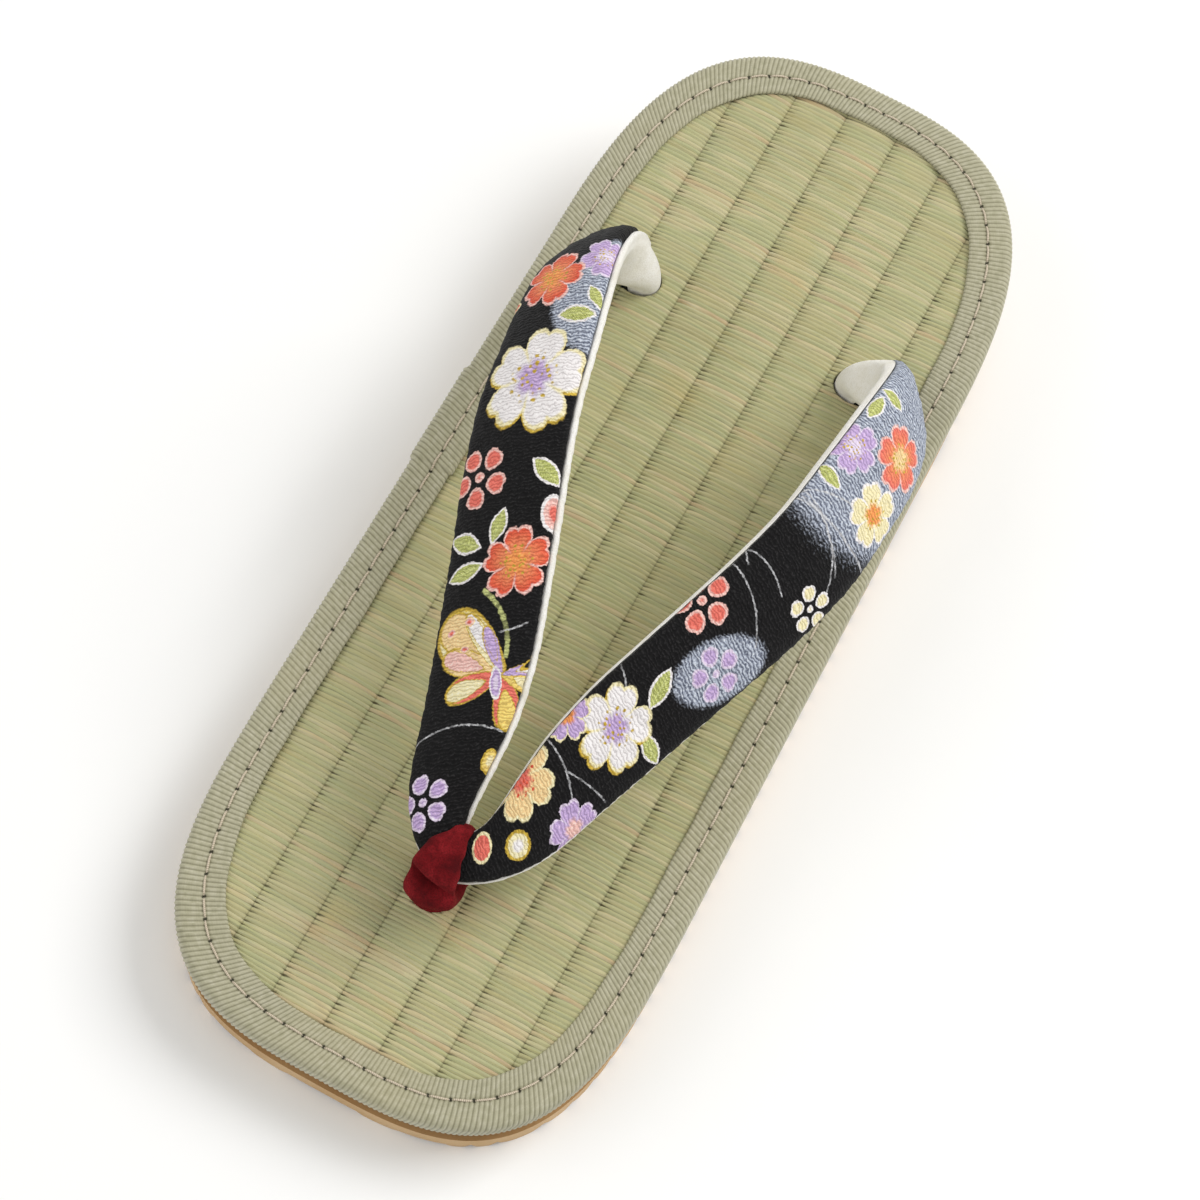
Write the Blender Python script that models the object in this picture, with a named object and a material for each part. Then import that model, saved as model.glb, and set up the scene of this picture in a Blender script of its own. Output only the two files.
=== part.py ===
"""Zori sandal: wedge sole, rush footbed with bound edge, padded straps and toe post.

Metres, +Z up, toe towards -Y, the floor at z = 0.
"""
import math
from collections import namedtuple

import bmesh
import bpy
from mathutils import Vector

# Overall size of the sole
LENGTH = 0.240
TOE_WIDTH = 0.0942
HEEL_WIDTH = 0.0922
TOE_BEND_Y = -0.062
HEEL_BEND_Y = 0.055
TOE_SQUARENESS = 3.2
HEEL_SQUARENESS = 2.95
CORNER_STEPS = 13
GAP = 0.0003

# Layers, from the floor up
OUTSOLE_HEIGHT = 0.0050
WEDGE_AT_TOE = 0.0050
WEDGE_AT_HEEL = 0.0216
TAPE_THICKNESS = 0.0006
BOARD_THICKNESS = 0.0038

# How far each layer stands in from the outermost edge
OUTSOLE_INSET = 0.0006
MIDSOLE_INSET = 0.0016
BOARD_INSET = TAPE_THICKNESS + GAP
TAPE_TOP_WIDTH = 0.0086
TAPE_UNDER_WIDTH = 0.0062
TAPE_BEND = 0.0017
PLATEAU_INSET = TAPE_UNDER_WIDTH + 0.0008

# Tread of the outsole
RIB_PITCH = 0.00490
RIB_LAND = 0.0019
RIB_CREST = 0.0009
RIB_DEPTH = 0.0018
ZIGZAG_WAVE = 0.0230
ZIGZAG_SWING = 0.0056
FRONT_RIBS = 32
HEEL_RIBS = 11
FRONT_RIBS_END_Y = 0.0385
HEEL_RIBS_START_Y = 0.0645
WAIST_RISE = 0.0012
RIDGE_Y = 0.0590
RIDGE_WIDTH = 0.0056
RIDGE_SLOPE = 0.0016

# Lap where the two ends of the tape meet, on the -X side
LAP_FRONT_Y = -0.002
LAP_REAR_Y = 0.020
LAP_SLOPE = 0.0006

# Holes of the footbed
ROOT_X = 0.0255
ROOT_Y = 0.0545
ROOT_HOLE_ACROSS = 0.0060
ROOT_HOLE_ALONG = 0.0062
POST_X = 0.0010
POST_Y = -0.0780
POST_HOLE_RADIUS = 0.0054
HOLE_SIDES = 24

# Straps: the crowns are the swell of the crepe above the band's edges and of the velvet below
ARCH = 0.0370
LEAN = 0.0055
CREPE_CROWN = 0.0044
LINING_CROWN = 0.0034
CREPE_EDGE = 0.0010
LINING_EDGE = 0.0008
CREPE_POINTS = 9
LINING_POINTS = 7
CROWN_FULLNESS = 0.8
FLAT_INSET = 0.86
FLAT_LIFT = 0.35
STEPS_PER_SECTION = 2

# Each row is a section of the right arm, from the rear hole to the middle of the front joint.
# inner and outer are the two edges of the band: across is a share of half the toe width, along a
# share of half the length (+ to the heel), up a share of the arch over the mat. crepe and lining
# are shares of the two crowns, lean a share of the sideways lean of the soft straps.
ArmSection = namedtuple("ArmSection", (
    "inner_across", "inner_along", "inner_up", "outer_across", "outer_along", "outer_up",
    "crepe", "lining", "lean"))
ARM_SECTIONS = tuple(ArmSection(*row) for row in (
    (0.560, 0.4980, -0.092, 0.560, 0.4120, -0.092, 0.86, 1.75, 0.00),
    (0.560, 0.4990, 0.030, 0.562, 0.4090, 0.030, 0.92, 1.75, 0.03),
    (0.578, 0.4960, 0.170, 0.610, 0.4030, 0.130, 1.00, 1.60, 0.12),
    (0.610, 0.4760, 0.370, 0.715, 0.3900, 0.230, 1.02, 1.30, 0.26),
    (0.622, 0.4280, 0.610, 0.825, 0.3640, 0.340, 1.00, 1.05, 0.40),
    (0.600, 0.3550, 0.800, 0.888, 0.3130, 0.440, 1.00, 1.00, 0.50),
    (0.560, 0.2600, 0.930, 0.905, 0.2320, 0.540, 1.00, 1.00, 0.68),
    (0.512, 0.1600, 0.985, 0.888, 0.1360, 0.610, 1.00, 1.00, 0.84),
    (0.458, 0.0550, 0.990, 0.855, 0.0240, 0.650, 1.00, 1.00, 0.96),
    (0.380, -0.0450, 0.965, 0.768, -0.0960, 0.640, 1.00, 1.00, 1.02),
    (0.293, -0.1400, 0.920, 0.672, -0.1980, 0.610, 1.00, 1.00, 1.04),
    (0.205, -0.2350, 0.860, 0.578, -0.2960, 0.570, 0.98, 0.98, 1.02),
    (0.124, -0.3250, 0.790, 0.492, -0.3880, 0.530, 0.96, 0.96, 0.98),
    (0.070, -0.4150, 0.710, 0.414, -0.4700, 0.490, 0.92, 0.92, 0.94),
    (0.056, -0.4850, 0.630, 0.345, -0.5450, 0.455, 0.88, 0.88, 0.90),
    (0.062, -0.5300, 0.555, 0.272, -0.5980, 0.430, 0.84, 0.84, 0.88),
    (0.060, -0.5480, 0.510, 0.176, -0.6400, 0.415, 0.82, 0.82, 0.86),
    (0.036, -0.5560, 0.485, 0.084, -0.6600, 0.405, 0.80, 0.80, 0.85),
))
# The section on the middle plane that both arms share
JOINT_SECTION = ArmSection(0.0, -0.5590, 0.475, 0.0, -0.6660, 0.400, 0.80, 0.80, 0.85)

# Toe post: a loop of velvet round the front joint, and a stem
LOOP_STEPS = 24
LOOP_SIDES = 12
LOOP_CLEARANCE = 0.0007
LOOP_FULLNESS = 0.85
STEM_RADIUS = 0.0050
STEM_DEPTH = 0.0034
STEM_SIDES = 16
# Rows go round the loop from the notch between the arms over the top to the front and back under.
LoopSection = namedtuple("LoopSection", ("angle_deg", "half_width", "thick"))
LOOP_SECTIONS = tuple(LoopSection(*row) for row in (
    (0.0, 0.0019, 0.0030),
    (40.0, 0.0026, 0.0032),
    (90.0, 0.0052, 0.0040),
    (135.0, 0.0067, 0.0046),
    (180.0, 0.0069, 0.0048),
    (225.0, 0.0064, 0.0046),
    (270.0, 0.0056, 0.0036),
    (320.0, 0.0028, 0.0028),
    (360.0, 0.0019, 0.0030),
))


def clear_scene():
    """Empties the scene."""
    for item in list(bpy.data.objects):
        bpy.data.objects.remove(item, do_unlink=True)
    for mesh in list(bpy.data.meshes):
        bpy.data.meshes.remove(mesh)


def material(name, colour, roughness):
    """A plain finish with its base colour and roughness."""
    made = bpy.data.materials.new(name)
    made.use_nodes = True
    surface = made.node_tree.nodes["Principled BSDF"]
    surface.inputs["Base Color"].default_value = (*colour, 1.0)
    surface.inputs["Roughness"].default_value = roughness
    made.diffuse_color = (*colour, 1.0)
    return made


def outsole_rubber():
    """Tan sponge rubber."""
    return material("outsole_rubber", (0.48, 0.29, 0.12), 0.75)


def wedge_foam():
    """Cream wedge foam."""
    return material("wedge_foam", (0.78, 0.72, 0.62), 0.6)


def rush_mat():
    """Woven rush."""
    return material("rush_mat", (0.44, 0.41, 0.21), 0.7)


def binding_tape():
    """Sage ribbed tape."""
    return material("binding_tape", (0.36, 0.36, 0.24), 0.8)


def printed_crepe():
    """Black crepe of the straps."""
    return material("printed_crepe", (0.02, 0.02, 0.022), 0.7)


def lining_velvet():
    """White velvet under the straps."""
    return material("lining_velvet", (0.78, 0.76, 0.68), 0.9)


def post_velvet():
    """Dark red velvet of the toe post."""
    return material("post_velvet", (0.14, 0.008, 0.014), 0.9)


def new_object(name, builder, finish, smooth_angle):
    """Turns a finished bmesh into a named object, smooth below the given edge angle."""
    bmesh.ops.recalc_face_normals(builder, faces=builder.faces)
    for face in builder.faces:
        face.smooth = True
    for edge in builder.edges:
        edge.smooth = not edge.is_manifold or edge.calc_face_angle() < smooth_angle
    mesh = bpy.data.meshes.new(name)
    builder.to_mesh(mesh)
    builder.free()
    mesh.materials.append(finish)
    made = bpy.data.objects.new(name, mesh)
    bpy.context.scene.collection.objects.link(made)
    return made


def bend_point(half_width, depth, bend_y, squareness, turn, side, end):
    """A point of one rounded end: turn runs from 0 on the middle line to a quarter turn."""
    power = 2.0 / squareness
    across = half_width * math.sin(turn) ** power
    along = depth * max(math.cos(turn), 0.0) ** power
    return (side * across, bend_y + end * along)


def outline(inset, side_breaks=()):
    """The shoe's plan, counter-clockwise from the toe, moved in by inset.

    side_breaks are extra y values on the straight -X side.
    """
    toe_half = TOE_WIDTH / 2 - inset
    heel_half = HEEL_WIDTH / 2 - inset
    toe_depth = LENGTH / 2 + TOE_BEND_Y - inset
    heel_depth = LENGTH / 2 - HEEL_BEND_Y - inset
    turns = [math.pi / 2 * step / CORNER_STEPS for step in range(CORNER_STEPS + 1)]
    points = []
    for turn in turns:
        points.append(bend_point(toe_half, toe_depth, TOE_BEND_Y, TOE_SQUARENESS, turn, 1, -1))
    for turn in reversed(turns):
        points.append(bend_point(heel_half, heel_depth, HEEL_BEND_Y, HEEL_SQUARENESS, turn, 1, 1))
    for turn in turns[1:]:
        points.append(bend_point(heel_half, heel_depth, HEEL_BEND_Y, HEEL_SQUARENESS, turn, -1, 1))
    for along in sorted(side_breaks, reverse=True):
        share = (along - TOE_BEND_Y) / (HEEL_BEND_Y - TOE_BEND_Y)
        points.append((-(toe_half + (heel_half - toe_half) * share), along))
    for turn in reversed(turns[1:]):
        points.append(bend_point(toe_half, toe_depth, TOE_BEND_Y, TOE_SQUARENESS, turn, -1, -1))
    return points


def wedge_top(along):
    """Height of the midsole's sloping top at a place along the shoe."""
    share = along / LENGTH + 0.5
    return OUTSOLE_HEIGHT + GAP + WEDGE_AT_TOE + (WEDGE_AT_HEEL - WEDGE_AT_TOE) * share


def mat_top(along):
    """Height of the rush mat at a place along the shoe."""
    return wedge_top(along) + GAP + TAPE_THICKNESS + GAP + BOARD_THICKNESS


def ring(builder, points, height, lift=0.0):
    """Adds one ring of vertices: height is a function of y or a number."""
    made = []
    for across, along in points:
        level = height(along) if callable(height) else height
        made.append(builder.verts.new((across, along, level + lift)))
    return made


def bridge(builder, low, high):
    """Joins two rings of equal count with quads."""
    count = len(low)
    for index in range(count):
        after = (index + 1) % count
        builder.faces.new((low[index], low[after], high[after], high[index]))


def stack(rings):
    """A solid from rings given bottom to top, with flat caps."""
    builder = bmesh.new()
    loops = [ring(builder, points, height, lift) for points, height, lift in rings]
    for low, high in zip(loops, loops[1:]):
        bridge(builder, low, high)
    builder.faces.new(list(reversed(loops[0])))
    builder.faces.new(loops[-1])
    return builder


def boolean(target, cutter, operation):
    """Applies one exact boolean and removes the cutter."""
    change = target.modifiers.new("cut", "BOOLEAN")
    change.operation = operation
    change.solver = "EXACT"
    change.object = cutter
    graph = bpy.context.evaluated_depsgraph_get()
    result = bpy.data.meshes.new_from_object(target.evaluated_get(graph))
    target.modifiers.clear()
    target.data = result
    bpy.data.objects.remove(cutter, do_unlink=True)


def cutter_object(name, builder):
    """A hidden helper solid for a boolean."""
    bmesh.ops.recalc_face_normals(builder, faces=builder.faces)
    mesh = bpy.data.meshes.new(name)
    builder.to_mesh(mesh)
    builder.free()
    made = bpy.data.objects.new(name, mesh)
    bpy.context.scene.collection.objects.link(made)
    made.hide_render = True
    made.display_type = "WIRE"
    return made


def set_edges(target, smooth_angle):
    """Marks sharp edges again after a boolean."""
    builder = bmesh.new()
    builder.from_mesh(target.data)
    for face in builder.faces:
        face.smooth = True
    for edge in builder.edges:
        edge.smooth = not edge.is_manifold or edge.calc_face_angle() < smooth_angle
    builder.to_mesh(target.data)
    builder.free()


def zigzag(across):
    """How far the ribs swing along the shoe at a place across it."""
    phase = abs(across / ZIGZAG_WAVE) % 1.0
    return ZIGZAG_SWING * (abs(2.0 * phase - 1.0) - 0.5)


def rib_rows(start, count):
    """The y values and depths of the crests and grooves of one field of ribs."""
    rows = []
    for number in range(count):
        front = start + number * RIB_PITCH
        rows.append((front, RIB_CREST, True))
        rows.append((front + RIB_CREST, 0.0, True))
        rows.append((front + RIB_CREST + RIB_LAND, 0.0, True))
        rows.append((front + 2 * RIB_CREST + RIB_LAND, RIB_CREST, True))
        rows.append((front + RIB_PITCH - RIB_CREST / 2, RIB_DEPTH, True))
    return rows


def tread_rows():
    """Every line of the underside from toe to heel: y, rise over the floor, follows the zigzag."""
    front_start = FRONT_RIBS_END_Y - FRONT_RIBS * RIB_PITCH
    rows = rib_rows(front_start, FRONT_RIBS)
    rows.append((FRONT_RIBS_END_Y + RIB_CREST, WAIST_RISE, True))
    ridge_front = RIDGE_Y - RIDGE_WIDTH / 2
    ridge_rear = RIDGE_Y + RIDGE_WIDTH / 2
    rows.append((ridge_front - RIDGE_SLOPE, WAIST_RISE, False))
    rows.append((ridge_front, 0.0, False))
    rows.append((ridge_rear, 0.0, False))
    rows.append((ridge_rear + RIDGE_SLOPE, WAIST_RISE, False))
    rows.append((HEEL_RIBS_START_Y + ZIGZAG_SWING / 2, WAIST_RISE, True))
    rows.extend(rib_rows(HEEL_RIBS_START_Y + ZIGZAG_SWING / 2 + RIB_CREST, HEEL_RIBS))
    return rows


def tread_block():
    """An oversize slab with the ribbed underside, to be trimmed to the shoe's plan."""
    builder = bmesh.new()
    half_waves = math.ceil(TOE_WIDTH / ZIGZAG_WAVE) + 1
    columns = [ZIGZAG_WAVE / 2 * step for step in range(-half_waves, half_waves + 1)]
    rows = [(-LENGTH, RIB_DEPTH, False)] + tread_rows() + [(LENGTH, RIB_DEPTH, False)]
    grid = []
    for along, rise, swings in rows:
        line = []
        for across in columns:
            shift = zigzag(across) if swings else 0.0
            line.append(builder.verts.new((across, along + shift, rise)))
        grid.append(line)
    for first, second in zip(grid, grid[1:]):
        for index in range(len(columns) - 1):
            builder.faces.new((first[index], second[index], second[index + 1], first[index + 1]))
    rim = grid[0] + [line[-1] for line in grid[1:]]
    rim += list(reversed(grid[-1][:-1])) + [line[0] for line in reversed(grid[1:-1])]
    lids = [builder.verts.new((vert.co.x, vert.co.y, OUTSOLE_HEIGHT)) for vert in rim]
    bridge(builder, rim, lids)
    builder.faces.new(lids)
    return builder


def build_outsole():
    """Rubber bottom: zigzag ribs, waist band, ridge, trimmed to the plan."""
    plan = outline(OUTSOLE_INSET)
    sole = new_object("outsole", tread_block(), outsole_rubber(), math.radians(25))
    trim = cutter_object("outsole_plan", stack(
        [(plan, -OUTSOLE_HEIGHT, 0.0), (plan, 2 * OUTSOLE_HEIGHT, 0.0)]))
    boolean(sole, trim, "INTERSECT")
    set_edges(sole, math.radians(25))
    return sole


def build_midsole():
    """Foam wedge on the outsole."""
    plan = outline(MIDSOLE_INSET)
    builder = stack([(plan, OUTSOLE_HEIGHT + GAP, 0.0), (plan, wedge_top, 0.0)])
    return new_object("midsole", builder, wedge_foam(), math.radians(40))


def hole_cutter(name, spot, radii):
    """An upright round or oval cutter through the footbed."""
    turns = [2 * math.pi * step / HOLE_SIDES for step in range(HOLE_SIDES)]
    rim = [(spot[0] + radii[0] * math.cos(turn), spot[1] + radii[1] * math.sin(turn))
           for turn in turns]
    return cutter_object(name, stack([(rim, 0.0, 0.0), (rim, LENGTH / 2, 0.0)]))


def build_footbed():
    """Board with its rush mat: a rim inside the tape and three holes."""
    rim = outline(BOARD_INSET)
    plateau = outline(PLATEAU_INSET)
    under = GAP + TAPE_THICKNESS + GAP
    builder = stack([(plateau, wedge_top, GAP), (plateau, wedge_top, under),
                     (rim, wedge_top, under), (rim, mat_top, 0.0)])
    board = new_object("footbed", builder, rush_mat(), math.radians(40))
    root_radii = (ROOT_HOLE_ACROSS, ROOT_HOLE_ALONG)
    post_radii = (POST_HOLE_RADIUS, POST_HOLE_RADIUS)
    for name, spot, radii in (("left_root_hole", (-ROOT_X, ROOT_Y), root_radii),
                              ("right_root_hole", (ROOT_X, ROOT_Y), root_radii),
                              ("post_hole", (POST_X, POST_Y), post_radii)):
        boolean(board, hole_cutter(name, spot, radii), "DIFFERENCE")
    set_edges(board, math.radians(40))
    return board


def tape_section(lap):
    """Profile of the tape as (inset, base, lift): outside from the top flap down, then inside."""
    base = TAPE_THICKNESS
    bend = TAPE_BEND
    soft = bend * (1 - math.sqrt(0.5))
    top = GAP + base + lap
    return (
        (TAPE_TOP_WIDTH, "top", top), (bend, "top", top), (soft - lap, "top", top - soft),
        (-lap, "top", top - bend), (-lap, "under", bend), (soft - lap, "under", soft),
        (bend, "under", 0.0), (TAPE_UNDER_WIDTH, "under", 0.0), (TAPE_UNDER_WIDTH, "under", base),
        (base, "under", base), (base, "top", GAP), (TAPE_TOP_WIDTH, "top", GAP),
    )


def build_binding():
    """Tape round the footbed's edge, doubled where its ends lap."""
    breaks = (LAP_FRONT_Y - LAP_SLOPE, LAP_FRONT_Y, LAP_REAR_Y, LAP_REAR_Y + LAP_SLOPE)
    builder = bmesh.new()
    plain = tape_section(0.0)
    lapped = tape_section(TAPE_THICKNESS)
    loops = []
    for flat, doubled in zip(plain, lapped):
        made = []
        flat_ring = outline(flat[0], breaks)
        double_ring = outline(doubled[0], breaks)
        for thin, thick in zip(flat_ring, double_ring):
            in_lap = thin[0] < 0 and LAP_FRONT_Y <= thin[1] <= LAP_REAR_Y
            spot, row = (thick, doubled) if in_lap else (thin, flat)
            level = mat_top(spot[1]) if row[1] == "top" else wedge_top(spot[1]) + GAP
            made.append(builder.verts.new((spot[0], spot[1], level + row[2])))
        loops.append(made)
    for low, high in zip(loops, loops[1:] + loops[:1]):
        bridge(builder, low, high)
    return new_object("binding", builder, binding_tape(), math.radians(50))


def edge_point(across, along, up, lean, side):
    """A point of a strap edge from its shares, for the arm on the given side."""
    spot_y = along * LENGTH / 2
    spot_x = side * across * TOE_WIDTH / 2 + lean * LEAN
    return Vector((spot_x, spot_y, mat_top(spot_y) + up * ARCH))


def section_edges(row, side):
    """Inner and outer edge points of one table row."""
    inner = edge_point(row.inner_across, row.inner_along, row.inner_up, row.lean, side)
    outer = edge_point(row.outer_across, row.outer_along, row.outer_up, row.lean, side)
    return inner, outer


def blend(values, share):
    """Smooth curve through the middle two of four values, which may be vectors."""
    first, second, third, fourth = values
    linear = (third - first) * 0.5
    square = first - second * 2.5 + third * 2.0 - fourth * 0.5
    cube = (fourth - first) * 0.5 + (second - third) * 1.5
    return second + linear * share + square * share ** 2 + cube * share ** 3


def arm_frames():
    """Inner edge, outer edge, crepe and lining shares from one rear hole to the other."""
    rows = []
    for side, table in ((1, ARM_SECTIONS), (1, (JOINT_SECTION,)), (-1, ARM_SECTIONS[::-1])):
        for row in table:
            rows.append((*section_edges(row, side), row.crepe, row.lining))
    frames = []
    last = len(rows) - 1
    for index in range(last):
        around = [rows[min(max(index + shift, 0), last)] for shift in (-1, 0, 1, 2)]
        for step in range(STEPS_PER_SECTION):
            share = step / STEPS_PER_SECTION
            frames.append(tuple(blend(column, share) for column in zip(*around)))
    frames.append(rows[last])
    return frames


def facing(frames, index):
    """Unit vectors of one section: across it from inner to outer edge, and out of its crepe."""
    before = frames[max(index - 1, 0)]
    after = frames[min(index + 1, len(frames) - 1)]
    travel = (after[0] + after[1] - before[0] - before[1]).normalized()
    width = (frames[index][1] - frames[index][0]).normalized()
    return width, travel.cross(width).normalized()


def crown_ring(frames, index, low_edge, crown, points):
    """One section: a nearly flat side at low_edge and a rounded crown, signed out of the crepe."""
    inner, outer = frames[index][0:2]
    width, outward = facing(frames, index)
    centre = (inner + outer) / 2
    half = (outer - inner).length / 2
    spots = []
    for step in range(points):
        angle = math.pi * step / (points - 1)
        rise = low_edge + (crown - low_edge) * math.sin(angle) ** CROWN_FULLNESS
        spots.append(centre - width * half * math.cos(angle) + outward * rise)
    for reach in (half * FLAT_INSET, -half * FLAT_INSET):
        spots.append(centre + width * reach + outward * low_edge * FLAT_LIFT)
    return spots


def band(name, sections, finish):
    """A closed band lofted through rings of points along both arms."""
    builder = bmesh.new()
    loops = [[builder.verts.new(spot) for spot in spots] for spots in sections]
    for low, high in zip(loops, loops[1:]):
        bridge(builder, low, high)
    builder.faces.new(list(reversed(loops[0])))
    builder.faces.new(loops[-1])
    return new_object(name, builder, finish, math.radians(50))


def build_straps():
    """Printed padded arms, joined at the front."""
    frames = arm_frames()
    sections = [crown_ring(frames, index, CREPE_EDGE, CREPE_CROWN * frame[2], CREPE_POINTS)
                for index, frame in enumerate(frames)]
    return band("straps", sections, printed_crepe())


def build_strap_lining():
    """Velvet underside of the arms, joined at the front."""
    frames = arm_frames()
    sections = [crown_ring(frames, index, -LINING_EDGE, -LINING_CROWN * frame[3], LINING_POINTS)
                for index, frame in enumerate(frames)]
    return band("strap_lining", sections, lining_velvet())


def loop_shape(angle):
    """Half width and thickness of the velvet at an angle round the loop, in degrees."""
    for first, second in zip(LOOP_SECTIONS, LOOP_SECTIONS[1:]):
        if angle <= second.angle_deg:
            share = (angle - first.angle_deg) / (second.angle_deg - first.angle_deg)
            ease = share * share * (3 - 2 * share)
            half_width = first.half_width + (second.half_width - first.half_width) * ease
            return half_width, first.thick + (second.thick - first.thick) * ease
    raise ValueError("angle outside the loop")


def loop_frame():
    """Centre, directions and half axes of the joint inside the velvet loop."""
    inner, outer = section_edges(JOINT_SECTION, 1)
    width = (outer - inner).normalized()
    outward = Vector((-1.0, 0.0, 0.0)).cross(width)
    above = CREPE_CROWN * JOINT_SECTION.crepe
    below = LINING_CROWN * JOINT_SECTION.lining
    half_long = (outer - inner).length / 2 + LOOP_CLEARANCE
    half_tall = (above + below) / 2 + LOOP_CLEARANCE
    return (inner + outer) / 2 + outward * (above - below) / 2, width, outward, half_long, half_tall


def soft(value):
    """A rounded-square version of a sine or cosine."""
    return math.copysign(abs(value) ** LOOP_FULLNESS, value)


def build_toe_post():
    """Velvet loop round the joint, with a stem into the front hole."""
    centre, width, outward, half_long, half_tall = loop_frame()
    builder = bmesh.new()
    loops = []
    for step in range(LOOP_STEPS):
        angle = 360.0 * step / LOOP_STEPS
        half_width, thick = loop_shape(angle)
        turn = math.radians(angle)
        out = (-width * math.cos(turn) * half_tall + outward * math.sin(turn) * half_long)
        out.normalize()
        base = centre - width * half_long * math.cos(turn) + outward * half_tall * math.sin(turn)
        section = []
        for side in range(LOOP_SIDES):
            around = 2 * math.pi * side / LOOP_SIDES
            reach = half_width * soft(math.cos(around))
            rise = thick / 2 * (1 + soft(math.sin(around)))
            section.append(base + Vector((reach, 0.0, 0.0)) + out * rise)
        loops.append([builder.verts.new(spot) for spot in section])
    for low, high in zip(loops, loops[1:] + loops[:1]):
        bridge(builder, low, high)
    post = new_object("toe_post", builder, post_velvet(), math.radians(60))
    boolean(post, stem_object(centre, outward, half_tall), "UNION")
    set_edges(post, math.radians(60))
    return post


def stem_object(centre, outward, half_tall):
    """The stem from inside the loop's lower side down into the front hole."""
    _, thick = loop_shape(270.0)
    head = centre - outward * (half_tall + thick * 0.5)
    foot = Vector((POST_X, POST_Y, mat_top(POST_Y) - STEM_DEPTH))
    knee = Vector((POST_X, POST_Y, mat_top(POST_Y) + 0.0012))
    builder = bmesh.new()
    loops = []
    for spot, radius in ((foot, STEM_RADIUS), (knee, STEM_RADIUS), (head, STEM_RADIUS * 1.02)):
        circle = []
        for side in range(STEM_SIDES):
            around = 2 * math.pi * side / STEM_SIDES
            offset = Vector((radius * math.cos(around), radius * math.sin(around), 0.0))
            circle.append(builder.verts.new(spot + offset))
        loops.append(circle)
    for low, high in zip(loops, loops[1:]):
        bridge(builder, low, high)
    builder.faces.new(list(reversed(loops[0])))
    builder.faces.new(loops[-1])
    return cutter_object("stem", builder)


def main():
    """Builds every piece of the sandal."""
    clear_scene()
    build_outsole()
    build_midsole()
    build_footbed()
    build_binding()
    build_straps()
    build_strap_lining()
    build_toe_post()


main()
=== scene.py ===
"""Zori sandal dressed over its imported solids.

Metres, +Z up, toe towards -Y, the floor at z = 0. Each sub-assembly is a class that holds its
sizes, builds its meshes and dresses them; each finish is a small class over a node tree.
"""
import logging
import math
from collections.abc import Sequence
from dataclasses import dataclass
from enum import Enum

import bmesh
import bpy
import numpy as np
from mathutils import Matrix, Vector


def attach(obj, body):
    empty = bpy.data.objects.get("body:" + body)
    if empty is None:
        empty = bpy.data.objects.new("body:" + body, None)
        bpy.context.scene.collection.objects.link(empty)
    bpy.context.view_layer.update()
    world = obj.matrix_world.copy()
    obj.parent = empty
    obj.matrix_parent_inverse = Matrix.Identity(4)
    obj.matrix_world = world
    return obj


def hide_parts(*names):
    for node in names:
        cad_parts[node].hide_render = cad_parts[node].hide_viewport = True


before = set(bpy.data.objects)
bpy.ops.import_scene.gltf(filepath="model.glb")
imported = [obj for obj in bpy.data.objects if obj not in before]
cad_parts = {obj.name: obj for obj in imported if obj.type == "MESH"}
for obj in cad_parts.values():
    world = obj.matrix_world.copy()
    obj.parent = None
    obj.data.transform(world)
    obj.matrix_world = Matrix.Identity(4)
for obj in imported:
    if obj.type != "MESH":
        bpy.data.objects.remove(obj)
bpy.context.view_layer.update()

LOG = logging.getLogger("zori")
MM = 0.001
BODY = "root"

# How near a motif may come to a part of the cloth before that part's finish draws it, in mm
PRINT_MARGIN = 1.5
# Lower and upper end of the tools that cut the mat
MAT_CUT = (0.002, 0.06)

Triple = tuple[float, float, float]


def tint(red: float, green: float, blue: float) -> Triple:
    """Turns a colour as the eye reads it, in 0 to 255, into scene light.

    Args:
        red: Red share.
        green: Green share.
        blue: Blue share.

    Returns:
        The same colour as three linear shares.
    """
    shares = []
    for value in (red, green, blue):
        share = value / 255.0
        shares.append(share / 12.92 if share <= 0.04045 else ((share + 0.055) / 1.055) ** 2.4)
    return tuple(shares)


def stand_up(name: str, data: bpy.types.ID) -> bpy.types.Object:
    """Puts a mesh, a lamp or a lens in the scene as an object."""
    made = bpy.data.objects.new(name, data)
    bpy.context.scene.collection.objects.link(made)
    return made


# ---------------------------------------------------------------- finishes


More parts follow.
